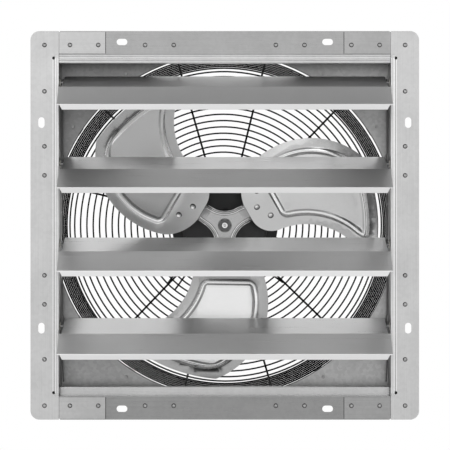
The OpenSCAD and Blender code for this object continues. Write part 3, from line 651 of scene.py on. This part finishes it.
@dataclass
class Sleeve(Assembly):
    """Sleeve walls, venturi panel and their screws."""

    def build(self) -> None:
        """Dress the sleeve's sheets and screws."""
        self.dress(["sleeve_left", "sleeve_right"],
                   SheetFinish("sleeve_side", 0.5, 0.4, Grain.ALONG_Z, crystals=0.06))
        self.dress(["sleeve_top", "sleeve_bottom"],
                   SheetFinish("sleeve_lid", 0.5, 0.4, crystals=0.06))
        # Painted shade: the panel darkens towards the top left, and almost to black where its surface
        # turns away from Y
        self.dress(["venturi_panel"],
                   SheetFinish("panel_sheet", 0.4, 0.4, crystals=0.06,
                               painted_slant=(0.8, -0.6), rim=0.08))
        # Painted shade on the screw heads' rims
        self.dress(["panel_screws", "guard_screws"],
                   SheetFinish("screw_zinc", 0.36, 0.36, Grain.EVEN, rim=0.3))


@dataclass
class Shutter(Assembly):
    """Louvres, their pins, bushes and tie bars."""

    louvres: int = 4
    # Each louvre's tone holds painted light: the louvres are lighter or darker as light falls on them
    tones: tuple[float, ...] = (0.78, 0.77, 0.87, 0.83)
    roughness: tuple[float, ...] = (0.42, 0.32, 0.32, 0.32)

    def build(self) -> None:
        """Dress the louvres and their linkage."""
        numbers = range(1, self.louvres + 1)
        for k, tone, roughness in zip(numbers, self.tones, self.roughness):
            # Painted light in each louvre's tone
            self.dress([f"louvre_{k}"],
                       SheetFinish(f"louvre_sheet_{k}", tone, roughness, Grain.ALONG_X,
                                   streaks=0.012, clouds=0.02, relief=0.1))
        self.dress([f"louvre_pins_{k}" for k in numbers],
                   SheetFinish("pin_zinc", 0.3, 0.3, Grain.EVEN))
        self.dress(["pivot_bushes"], PaintFinish("bush_nylon", (0.62, 0.61, 0.56), 0.5, coat=0.0))
        # Painted shade: the tie bars are toned far darker than zinc, to stand for the shade in the
        # recess by the wall
        self.dress(["tie_bar_left", "tie_bar_right"],
                   SheetFinish("tie_strip_shaded", 0.12, 0.42, Grain.ALONG_Z, crystals=0.04))


@dataclass
class Guard(Assembly):
    """Wire guard, its welds and its clips."""

    ribs: int = 12
    first_rib: float = 16.1
    weld: float = 0.0013
    wire: float = 0.0012
    pitch: float = 0.00965
    start: float = 0.0035
    face_y: float = 0.165
    bend_at: float = 0.2135
    bend_r: float = 0.027
    bend_seat: float = 0.0001
    lean: float = 11.0
    halves: tuple[int, int] = (17, 66)
    weld_in: float = 0.9
    facets: int = 8

    def crossing(self, half: int) -> Triple:
        """Place of the spiral wire at the end of a number of half turns.

        Args:
            half: Half turns from the spiral's start.

        Returns:
            Radius, depth and the lean of the guard's surface there in radians.
        """
        run = self.start + half * self.pitch / 2 - self.bend_at
        lean = math.radians(90.0 - self.lean)
        bend_y = self.face_y - self.bend_r
        if run < 0:
            return self.bend_at + run, self.face_y, 0.0
        if run < self.bend_r * lean:
            turn, reach = run / self.bend_r, self.bend_r + self.bend_seat
            return self.bend_at + reach * math.sin(turn), bend_y + reach * math.cos(turn), turn
        rest = run - self.bend_r * lean
        return (self.bend_at + self.bend_r * math.sin(lean) + rest * math.cos(lean),
                bend_y + self.bend_r * math.cos(lean) - rest * math.sin(lean), lean)

    def welds(self) -> None:
        """A small weld where each turn of the spiral crosses each radial wire."""
        mesh = bmesh.new()
        profile = [(0.0, -0.8 * self.weld), (0.75 * self.weld, -0.55 * self.weld),
                   (1.1 * self.weld, 0.0), (0.75 * self.weld, 0.55 * self.weld), (0.0, 0.8 * self.weld)]
        for half in range(*self.halves):
            near, far = self.crossing(half), self.crossing(half + 1)
            for k in range(self.ribs // 2):
                turn = math.radians(self.first_rib + 360.0 * k / self.ribs)
                share = (1.0 - math.cos(turn)) / 2
                radius, depth, lean = (n + (f - n) * share for n, f in zip(near, far))
                a = turn + math.pi * half
                out = Vector((math.cos(a), 0.0, math.sin(a)))
                inward = -math.sin(lean) * out - math.cos(lean) * Vector((0.0, 1.0, 0.0))
                place = radius * out + Vector((0.0, depth, 0.0)) + self.weld_in * self.wire * inward
                turn_profile(mesh, profile, place, inward, self.facets)
        finish = PaintFinish("weld_coat", (0.004, 0.004, 0.004), 0.4, peel=1500.0, coat=0.0,
                             specular=0.12)
        self.piece("guard_welds", mesh, finish.material(), Body.HOUSING.value, "guard_wire")

    def build(self) -> None:
        """Dress the guard and build its welds."""
        wire = PaintFinish("guard_coat", (0.003, 0.003, 0.0032), 0.55, coat=0.0, specular=0.04)
        self.dress(["guard_face_spiral", "guard_side_turns", "guard_ribs", "mount_wires"], wire)
        self.dress(["guard_clips"], PaintFinish("clip_coat", (0.02, 0.02, 0.021), 0.4))
        self.welds()


@dataclass
class Motor(Assembly):
    """Motor, its mount and its fasteners."""

    def build(self) -> None:
        """Dress the motor."""
        self.dress(["motor_mount", "mount_saddles"],
                   PaintFinish("mount_coat", (0.009, 0.009, 0.01), 0.4, specular=0.3))
        self.dress(["motor_shell"], PaintFinish("shell_enamel", (0.01, 0.01, 0.011), 0.35, coat=0.2))
        self.dress(["motor_front_shield", "motor_rear_shield"],
                   PaintFinish("shield_enamel", (0.012, 0.012, 0.013), 0.45, peel=500.0, depth=0.0001))
        self.dress(["mount_bolts", "motor_tie_bolts"],
                   SheetFinish("bolt_zinc", 0.45, 0.34, Grain.EVEN))
        self.dress(["cable_gland"],
                   PaintFinish("gland_nylon", (0.015, 0.015, 0.015), 0.5, coat=0.0))
        self.dress(["motor_stator", "motor_rotor"],
                   SheetFinish("core_laminations", 0.3, 0.45, Grain.ALONG_Z, streaks=0.2))
        self.dress(["motor_windings"],
                   PaintFinish("winding_varnish", (0.35, 0.12, 0.04), 0.3, peel=300.0, depth=0.0006))
        self.dress(["motor_bearings"],
                   SheetFinish("bearing_steel", 0.6, 0.18, Grain.EVEN, streaks=0.02))


class Zone(Enum):
    """Zones of a pressed blade, each with its own tone of painted light and shade."""

    PANEL = 0
    BORDER = 1
    BEAD = 2
    CREASE = 3


@dataclass
class BladeShape:
    """A pressed blade, in millimetres: x along the arm, y across it, z to the shutter."""

    tip_r: float = 231.0
    root: float = 40.0
    lead: Triple = (115.0, -60.4, 124.8)
    trail: Triple = (56.4, -148.3, 102.2)
    tip_turn: float = 40.0
    upper: Triple = (101.2, 2.3, 62.2)
    lower: Triple = (74.0, -13.0, 34.2)
    inset: float = 18.0
    panel_root: float = 85.0
    corner: float = 7.0
    camber: float = 320.0
    sheet: float = 1.2
    pitch: float = 24.0
    press: float = 1.8
    bead: float = 2.4
    flank: float = 6.0
    crest: float = 1.8
    seam: float = 1.0
    row: float = 2.0
    grid: float = 8.0
    heart: Pair = (130.0, -10.0)
    panel_heart: Pair = (150.0, -10.0)
    edge_rows: Pair = (-3.0, -1.2)
    bead_rows: int = 8
    grid_from: float = 30.0
    grid_l: float = 240.0
    grid_lines: tuple[int, int] = (-18, 12)
    edge_gap: float = 5.0
    bead_gap: float = 2.0
    rays: int = 1440
    ray_l: float = 300.0
    halvings: int = 26
    merge: float = 1e-4

    def edge(self, x: float, y: float) -> float:
        """Measure to the blade's edge.

        Args:
            x: Place along the arm.
            y: Place across it.

        Returns:
            The distance, below zero inside.
        """
        far = [math.hypot(x, y) - self.tip_r,
               math.hypot(x - self.lead[0], y - self.lead[1]) - self.lead[2], self.root - x,
               self.trail[2] - math.hypot(x - self.trail[0], y - self.trail[1])]
        turn = math.radians(self.tip_turn)
        far.append(-x * math.sin(turn) - y * math.cos(turn))
        if x < self.upper[0] and y > self.upper[1]:
            far.append(math.hypot(x - self.upper[0], y - self.upper[1]) - self.upper[2])
        if x < self.lower[0] and y < self.lower[1]:
            far.append(math.hypot(x - self.lower[0], y - self.lower[1]) - self.lower[2])
        return max(far)

    def panel(self, x: float, y: float) -> float:
        """Measure to the pressed panel's edge, which has rounded corners.

        Args:
            x: Place along the arm.
            y: Place across it.

        Returns:
            The distance, below zero inside.
        """
        k = self.inset + self.corner
        turn = math.radians(self.tip_turn)
        far = [math.hypot(x, y) - self.tip_r + k,
               math.hypot(x - self.lead[0], y - self.lead[1]) - self.lead[2] + k,
               self.panel_root + self.corner - x,
               self.trail[2] + k - math.hypot(x - self.trail[0], y - self.trail[1]),
               k - x * math.sin(turn) - y * math.cos(turn)]
        out = math.sqrt(sum(max(d, 0.0) ** 2 for d in far))
        return (out if out > 0 else max(far)) - self.corner

    def contour(self, field_of: Callable[[float, float], float], level: float,
                middle: Pair, spacing: float) -> list[Pair]:
        """Trace a closed contour of a distance field about a middle point.

        Args:
            field_of: The distance field.
            level: The distance to trace.
            middle: A point that sees the whole contour.
            spacing: Distance between neighbouring points.

        Returns:
            The contour's points in order.
        """
        rough = []
        for k in range(self.rays):
            a = 2 * math.pi * k / self.rays
            low, high = 0.0, self.ray_l
            for _ in range(self.halvings):
                mid = (low + high) / 2
                x, y = middle[0] + mid * math.cos(a), middle[1] + mid * math.sin(a)
                low, high = (mid, high) if field_of(x, y) < level else (low, mid)
            rough.append((middle[0] + low * math.cos(a), middle[1] + low * math.sin(a)))
        points, left = [rough[0]], 0.0
        for p, q in zip(rough, rough[1:] + rough[:1]):
            left += math.dist(p, q)
            if left >= spacing:
                points.append(q)
                left = 0.0
        if math.dist(points[0], points[-1]) < spacing / 2:
            points.pop()
        return points

    def zone(self, distance: float) -> Zone:
        """Find the zone of the pressing at a distance from the panel's edge.

        Args:
            distance: The distance, below zero inside the panel.

        Returns:
            The zone.
        """
        if abs(distance) < self.crest:
            return Zone.BEAD
        if abs(distance) < self.flank - self.seam:
            return Zone.CREASE
        return Zone.BORDER if distance > 0 else Zone.PANEL

    def raised(self, x: float, y: float) -> float:
        """Find the height of the pressing: a rolled bead round a raised panel.

        Args:
            x: Place along the arm.
            y: Place across it.

        Returns:
            The height above the cambered sheet.
        """
        d = self.panel(x, y)
        t = min(max((self.flank - d) / (2 * self.flank), 0.0), 1.0)
        bump = max(0.0, 1.0 - (d / self.flank) ** 2) ** 2
        return self.press * t * t * (3 - 2 * t) + self.bead * bump

    def depth(self, y: float, radius: float) -> float:
        """Find the height of the cambered sheet above the arm's plane.

        Args:
            y: Place across the arm.
            radius: Radius of the sheet's face.

        Returns:
            The height.
        """
        out = self.camber + self.sheet
        turn = math.radians(self.pitch)
        mid = (-out * math.sin(turn), out * math.cos(turn))
        return mid[1] - math.sqrt(radius * radius - (y - mid[0]) ** 2)

    def mesh(self, turn: float, hub_y: float) -> bmesh.types.BMesh:
        """Build the blade.

        Args:
            turn: Direction of its arm in degrees.
            hub_y: Depth of the spider's face in metres.

        Returns:
            Its mesh in the part's frame, in metres.
        """
        edge = self.contour(self.edge, 0.0, self.heart, self.row)
        points = list(edge)
        for level in self.edge_rows:
            points += self.contour(self.edge, level, self.heart, 2 * self.row)
        for k in range(-self.bead_rows, self.bead_rows + 1):
            level = k * self.flank / self.bead_rows
            points += self.contour(self.panel, level, self.panel_heart, self.row)
        for i in range(int(self.grid_l / self.grid)):
            for j in range(*self.grid_lines):
                x, y = self.grid_from + i * self.grid, j * self.grid
                clear = abs(self.panel(x, y)) > self.flank + self.bead_gap
                if self.edge(x, y) < -self.edge_gap and clear:
                    points.append((x, y))
        flat, _, faces, *_ = delaunay_2d_cdt([Vector(p) for p in points], [],
                                             [list(range(len(edge)))], 1, self.merge)
        mesh = bmesh.new()
        angle = math.radians(turn)
        cos, sin = math.cos(angle), math.sin(angle)
        skins = []
        for radius in (self.camber, self.camber + self.sheet):
            skin = []
            for p in flat:
                z = self.depth(p.y, radius - self.raised(p.x, p.y))
                x, y = p.x * cos - p.y * sin, p.x * sin + p.y * cos
                skin.append(mesh.verts.new((x / PER_METRE, hub_y - z / PER_METRE, y / PER_METRE)))
            skins.append(skin)
        count: dict[tuple[int, int], int] = {}
        for face in faces:
            middle = sum((flat[i] for i in face), Vector((0.0, 0.0))) / len(face)
            zone = self.zone(self.panel(middle.x, middle.y))
            mesh.faces.new([skins[0][i] for i in face]).material_index = zone.value
            mesh.faces.new([skins[1][i] for i in reversed(face)]).material_index = zone.value
            for i, j in zip(face, face[1:] + face[:1]):
                pair = (min(i, j), max(i, j))
                count[pair] = count.get(pair, 0) + 1
        for (i, j), uses in count.items():
            if uses == 1:
                rim = mesh.faces.new([skins[0][i], skins[0][j], skins[1][j], skins[1][i]])
                rim.material_index = Zone.BORDER.value
        return mesh


@dataclass
class Impeller(Assembly):
    """Blades, spider, hub hardware and shaft."""

    body: Body = Body.ROTOR
    hub_y: float = 0.101
    arms: Triple = (150.0, 30.0, 270.0)
    rivet_spots: tuple[Pair, ...] = ((55.5, 0.0), (67.3, -21.1), (67.3, 21.1))
    rivet_r: float = 0.0045
    rivet_rise: float = 0.00225
    rivet_grip: float = 0.00325
    stud_r: float = 0.005
    thread: float = 0.0015
    stud_end: float = 0.0854
    thread_lead: float = 0.0012
    thread_gap: float = 0.002
    thread_steps: int = 28
    ridge: tuple[Pair, ...] = ((-0.0002, -0.0006), (0.0004, 0.0), (-0.0002, 0.0006))
    # Painted light: each blade's panel and border tone is lit or shaded as light falls on it, the bead
    # carries a painted highlight and the crease painted shade
    tones: Triple = (0.98, 0.7, 1.0)
    border_light_tones: Triple = (0.88, 0.72, 0.5)
    bead_highlight_tone: float = 1.0
    crease_shade_share: float = 0.72
    # Painted highlight: blade A grows lighter towards its lower part
    painted_slants: tuple[Pair, ...] = ((0.0, -0.9), (0.0, 0.0), (0.0, 0.0))
    hollow_at: float = 57.3
    hollow_turns: range = range(266, 210, -4)
    arm_half: float = 14.25
    neck_spots: range = range(39, 28, -2)
    neck_from: float = 28.5
    neck_l: float = 11.0
    twist: float = 24.0
    fold_depth: float = 1.0
    rims: tuple[Triple, ...] = ((0.9, 1.5, 2.6), (5.6, 1.4, 1.1))
    rim_sides: int = 8
    rim_end: float = 0.1

    def blades(self) -> None:
        """Pressed blades in the place of the plain ones."""
        shape = BladeShape()
        pairs = zip(self.tones, self.border_light_tones)
        for letter, turn, pair, painted_slant in zip("abc", self.arms, pairs, self.painted_slants):
            # Painted highlight on the bead and painted shade in the crease
            tones = (*pair, self.bead_highlight_tone, self.crease_shade_share * min(pair))
            finishes = [SheetFinish(f"blade_{zone.name.lower()}_{letter}", tone, 0.2, Grain.EVEN,
                                    streaks=0.015, clouds=0.02, edge=0.0002, relief=0.15,
                                    painted_slant=painted_slant).material()
                        for zone, tone in zip(Zone, tones)]
            blade = self.piece(f"pressed_blade_{letter}", shape.mesh(turn, self.hub_y), finishes[0],
                               self.body.value, "blade_sheet")
            for finish in finishes[1:]:
                blade.data.materials.append(finish)
            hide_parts(f"fan_blade_{letter}")

    def rivets(self) -> None:
        """Domed rivets square to the blades' camber."""
        shape = BladeShape()
        out = shape.camber + shape.sheet
        slope = math.radians(shape.pitch)
        mesh = bmesh.new()
        head, rise, grip = self.rivet_r, self.rivet_rise, self.rivet_grip
        dome = [(0.0, 0.72 * rise), (0.16 * head, 0.7 * rise), (0.22 * head, 0.98 * rise),
                (0.45 * head, 0.92 * rise), (0.7 * head, 0.68 * rise), (0.88 * head, 0.38 * rise),
                (head, 0.1 * rise), (head, 0.00005)]
        shank = [(0.002, 0.00005), (0.002, -grip), (0.0027, -grip - 0.00005),
                 (0.0027, -grip - 0.0007), (0.0018, -grip - 0.00105), (0.0, -grip - 0.00105)]
        for turn in self.arms:
            angle = math.radians(turn)
            cos, sin = math.cos(angle), math.sin(angle)
            for x, y in self.rivet_spots:
                tilt = math.asin((y + out * math.sin(slope)) / out)
                z = shape.depth(y, out)
                normal = Vector((0.0, -math.sin(tilt), math.cos(tilt)))
                foot = Vector((x, y, z)) + normal * shape.sheet
                place = Vector((foot.x * cos - foot.y * sin, self.hub_y * PER_METRE - foot.z,
                                foot.x * sin + foot.y * cos)) / PER_METRE
                axis = Vector((-normal.y * sin, -normal.z, normal.y * cos))
                turn_profile(mesh, dome + shank, place, axis)
        # Painted shade on the rivets' rims
        finish = SheetFinish("blade_rivet", 1.0, 0.16, Grain.EVEN, streaks=0.02, clouds=0.02,
                             edge=0.0002, rim=0.12)
        rivets = self.piece("domed_rivets", mesh, finish.material(), self.body.value, "blade_rivet")
        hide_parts("blade_rivets")

    def neck_point(self, x: float, edge: float, hand: float) -> tuple[Vector, Vector, Vector]:
        """Find a point of a rim on the arm at 0 degrees, whose neck twists to the blade's pitch.

        Args:
            x: Place along the arm in millimetres.
            edge: Distance from the arm's middle line.
            hand: 1 on the arm's upper side, -1 on its lower side.

        Returns:
            Place, direction towards the hollow and outward direction, in the spider's frame.
        """
        turn = math.radians(self.twist * (x - self.neck_from) / self.neck_l)
        side = Vector((0.0, hand * math.cos(turn), hand * math.sin(turn)))
        up = Vector((0.0, -math.sin(turn), math.cos(turn)))
        place = Vector((x, 0.0, -self.fold_depth)) + side * edge + up * self.fold_depth
        return place, side, up

    def rim_path(self, inset: float) -> list[tuple[Vector, Vector, Vector]]:
        """Trace a line along a hollow flank, from the arm at 0 degrees to the next arm.

        Args:
            inset: Distance inside the flank's edge in millimetres.

        Returns:
            What neck_point gives, for each point.
        """
        edge = self.arm_half - inset
        path = [self.neck_point(x, edge, 1.0) for x in self.neck_spots]
        between = math.radians(60.0)
        centre = Vector((math.cos(between), math.sin(between), 0.0)) * self.hollow_at
        reach = centre.y - edge
        for angle in self.hollow_turns:
            out = Vector((math.cos(math.radians(angle)), math.sin(math.radians(angle)), 0.0))
            path.append((centre + out * reach, -out, Vector((0.0, 0.0, 1.0))))
        onward = Matrix.Rotation(math.radians(120.0), 3, "Z")
        for x in reversed(self.neck_spots):
            place, side, up = self.neck_point(x, edge, -1.0)
            path.append((onward @ place, onward @ side, onward @ up))
        return path

    def spider_rims(self) -> None:
        """Polished rolled rims along the spider's hollow flanks, painted far lighter than the spider as
        a highlight.
        """
        mesh = bmesh.new()
        sides = self.rim_sides
        for turn in self.arms:
            spin = Matrix.Rotation(math.radians(turn), 3, "Z")
            for inset, width, height in self.rims:
                path, rows = self.rim_path(inset), []
                for k, (place, side, up) in enumerate(path):
                    size = self.rim_end if k in (0, len(path) - 1) else 1.0
                    row = []
                    for b in (math.pi * j / sides for j in range(sides + 1)):
                        out = side * width * math.cos(b) + up * height * math.sin(b)
                        p = spin @ (place + size * out)
                        row.append(mesh.verts.new((p.x / PER_METRE, self.hub_y - p.z / PER_METRE,
                                                   p.y / PER_METRE)))
                    rows.append(row)
                for low, high in zip(rows, rows[1:]):
                    for j in range(sides + 1):
                        i = (j + 1) % (sides + 1)
                        mesh.faces.new([low[j], low[i], high[i], high[j]])
                mesh.faces.new(rows[0])
                mesh.faces.new(rows[-1])
        # Painted highlight: the rims are far lighter than the spider, with painted shade on their sides
        finish = SheetFinish("rim_polish_and_highlight", 0.95, 0.16, Grain.EVEN, streaks=0.02, edge=0.0001, rim=0.1)
        self.piece("spider_rims", mesh, finish.material(), self.body.value, "spider_sheet")

    def stud_thread(self) -> None:
        """Thread and centred end face of the shaft in front of the nut."""
        mesh = bmesh.new()
        nut_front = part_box("hub_nut")[0][1]
        rows, y = [], self.stud_end + self.thread_lead
        steps = self.thread_steps
        turns = int((nut_front - self.stud_end - self.thread_gap) / self.thread)
        for k in range(steps * turns + 1):
            a = 2 * math.pi * k / steps
            lift = self.thread * k / steps
            ridge = ((self.stud_r + out, d) for out, d in self.ridge)
            rows.append([mesh.verts.new((r * math.cos(a), y + lift + d, r * math.sin(a)))
                         for r, d in ridge])
        corners = len(self.ridge)
        for low, high in zip(rows, rows[1:]):
            for k in range(corners):
                j = (k + 1) % corners
                mesh.faces.new([low[k], low[j], high[j], high[k]])
        mesh.faces.new(rows[0])
        mesh.faces.new(rows[-1])
        end = Vector((0.0, self.stud_end, 0.0))
        centred = [(0.0, 0.0002), (0.0016, 0.0012), (0.002, 0.0014), (0.0042, 0.0014),
                   (0.0049, 0.0007), (0.005, 0.0)]
        turn_profile(mesh, centred, end, Vector((0, -1, 0)), 32)
        # Painted shade on the thread's flanks
        finish = SheetFinish("thread_steel", 0.85, 0.2, Grain.EVEN, edge=0.0001, rim=0.05)
        self.piece("stud_thread", mesh, finish.material(), self.body.value, "fastener")

    def build(self) -> None:
        """Build the blades, rivets, spider rims and thread, and dress the rest."""
        self.blades()
        self.rivets()
        self.spider_rims()
        self.stud_thread()
        # Painted shade on the rims of the spider, washers and nut
        self.dress(["fan_spider"],
                   SheetFinish("spider_plate", 0.46, 0.22, Grain.EVEN, streaks=0.02, rim=0.5))
        self.dress(["hub_washers"],
                   SheetFinish("washer_zinc", 0.2, 0.24, Grain.EVEN, streaks=0.02, rim=0.2))
        self.dress(["hub_nut"],
                   SheetFinish("nut_zinc", 0.12, 0.2, Grain.EVEN, streaks=0.02, rim=0.4))
        self.dress(["motor_shaft"], SheetFinish("shaft_steel", 0.9, 0.18, Grain.ALONG_Y))


@dataclass
class Studio:
    """Floor, world, lamps and camera."""

    eye_distance: float = 3.2
    lens: float = 176.0
    eye_x: float = 0.0006
    eye_z: float = -0.0002
    shift_x: float = -0.00045
    shift_y: float = 0.0011
    floor_z: float = -0.46
    floor_reach: float = 14.0
    floor_grey: float = 0.86
    fill: float = 0.75
    lamps: tuple[tuple[str, Triple, float, float], ...] = (
        ("key", (-1.6, -2.6, 1.8), 1.6, 12.0), ("rim", (2.2, -1.8, 0.9), 1.4, 6.0))
    card_at: Triple = (0.0, 0.1, 1.7)
    card_size: Pair = (3.0, 1.6)
    card_grey: float = 0.3

    def floor(self) -> None:
        """A plain pale floor that keeps the part's shadow and looks white to the camera."""
        mesh = bpy.data.meshes.new("studio_floor")
        reach = self.floor_reach
        corners = ((-reach, -reach), (reach, -reach), (reach, reach), (-reach, reach))
        mesh.from_pydata([(x, y, self.floor_z) for x, y in corners], [], [(0, 1, 2, 3)])
        floor = put("studio_floor", mesh)
        graph = Graph("floor_paint")
        graph.shader.inputs["Base Color"].default_value = (*[self.floor_grey] * 3, 1.0)
        graph.shader.inputs["Roughness"].default_value = 0.9
        path = graph.add("ShaderNodeLightPath")
        glow = graph.add("ShaderNodeEmission")
        mix = graph.add("ShaderNodeMixShader")
        graph.wire(path.outputs["Is Camera Ray"], mix.inputs["Fac"])
        graph.wire(graph.shader.outputs["BSDF"], mix.inputs[1])
        graph.wire(glow.outputs["Emission"], mix.inputs[2])
        graph.wire(mix.outputs["Shader"], graph.nodes["Material Output"].inputs["Surface"])
        mesh.materials.append(graph.material)

    def world(self) -> None:
        """A white surround for the camera and for reflections, and a softer fill elsewhere."""
        world = bpy.data.worlds.new("surround")
        bpy.context.scene.world = world
        world.use_nodes = True
        tree = world.node_tree
        soft = tree.nodes["Background"]
        white = tree.nodes.new("ShaderNodeBackground")
        for shade, strength in ((soft, self.fill), (white, 1.0)):
            shade.inputs["Color"].default_value = (1.0, 1.0, 1.0, 1.0)
            shade.inputs["Strength"].default_value = strength
        path = tree.nodes.new("ShaderNodeLightPath")
        mix = tree.nodes.new("ShaderNodeMixShader")
        seen = path.outputs["Is Camera Ray"]
        for ray in ("Is Glossy Ray", "Is Transmission Ray"):
            either = tree.nodes.new("ShaderNodeMath")
            either.operation = "MAXIMUM"
            tree.links.new(seen, either.inputs[0])
            tree.links.new(path.outputs[ray], either.inputs[1])
            seen = either.outputs[0]
        tree.links.new(seen, mix.inputs["Fac"])
        tree.links.new(soft.outputs["Background"], mix.inputs[1])
        tree.links.new(white.outputs["Background"], mix.inputs[2])
        tree.links.new(mix.outputs["Shader"], tree.nodes["World Output"].inputs["Surface"])

    def lamp(self, name: str, place: Sequence[float], size: float, power: float) -> None:
        """A square softbox that faces the part.

        Args:
            name: The lamp's name.
            place: Its place in metres.
            size: Its side in metres.
            power: Its power in watts.
        """
        data = bpy.data.lights.new(name, "AREA")
        data.size = size
        data.energy = power
        lamp = put(name, data)
        lamp.location = place
        lamp.rotation_euler = (-Vector(place)).to_track_quat("-Z", "Y").to_euler()

    def card(self, name: str, middle: Sequence[float], width: float, height: float,
             grey: float) -> None:
        """A dark card that only shows in the metal's reflections.

        Args:
            name: The card's name.
            middle: Its middle in metres.
            width: Its width.
            height: Its height.
            grey: Its tone.
        """
        mesh = bpy.data.meshes.new(name)
        x, y = width / 2, height / 2
        mesh.from_pydata([(-x, -y, 0), (x, -y, 0), (x, y, 0), (-x, y, 0)], [], [(0, 1, 2, 3)])
        card = put(name, mesh)
        card.location = middle
        card.rotation_euler = (-Vector(middle)).to_track_quat("-Z", "Y").to_euler()
        card.visible_camera = card.visible_diffuse = card.visible_shadow = False
        graph = Graph(name)
        graph.shader.inputs["Base Color"].default_value = (grey, grey, grey, 1.0)
        graph.shader.inputs["Roughness"].default_value = 1.0
        mesh.materials.append(graph.material)

    def camera(self) -> None:
        """The photograph's straight-on view."""
        data = bpy.data.cameras.new("eye")
        data.lens = self.lens
        data.shift_x = self.shift_x
        data.shift_y = self.shift_y
        eye = put("eye", data)
        eye.location = (self.eye_x, -self.eye_distance, self.eye_z)
        eye.rotation_euler = (math.pi / 2, 0.0, 0.0)
        bpy.context.scene.camera = eye

    def build(self) -> None:
        """Set up the whole studio."""
        self.floor()
        self.world()
        for name, place, size, power in self.lamps:
            self.lamp(name, place, size, power)
        self.card("ceiling_card", self.card_at, *self.card_size, self.card_grey)
        self.camera()
        bpy.context.scene.view_settings.view_transform = "Standard"
        log.info("studio set, camera %.2f m away", self.eye_distance)


def main() -> None:
    """Build the groups in order, then the studio."""
    logging.basicConfig(level=logging.INFO, format="%(message)s")
    for group in (WallFrame(), Sleeve(), Shutter(), Guard(), Motor(), Impeller()):
        group.build()
    Studio().build()


if __name__ == "__main__":
    main()
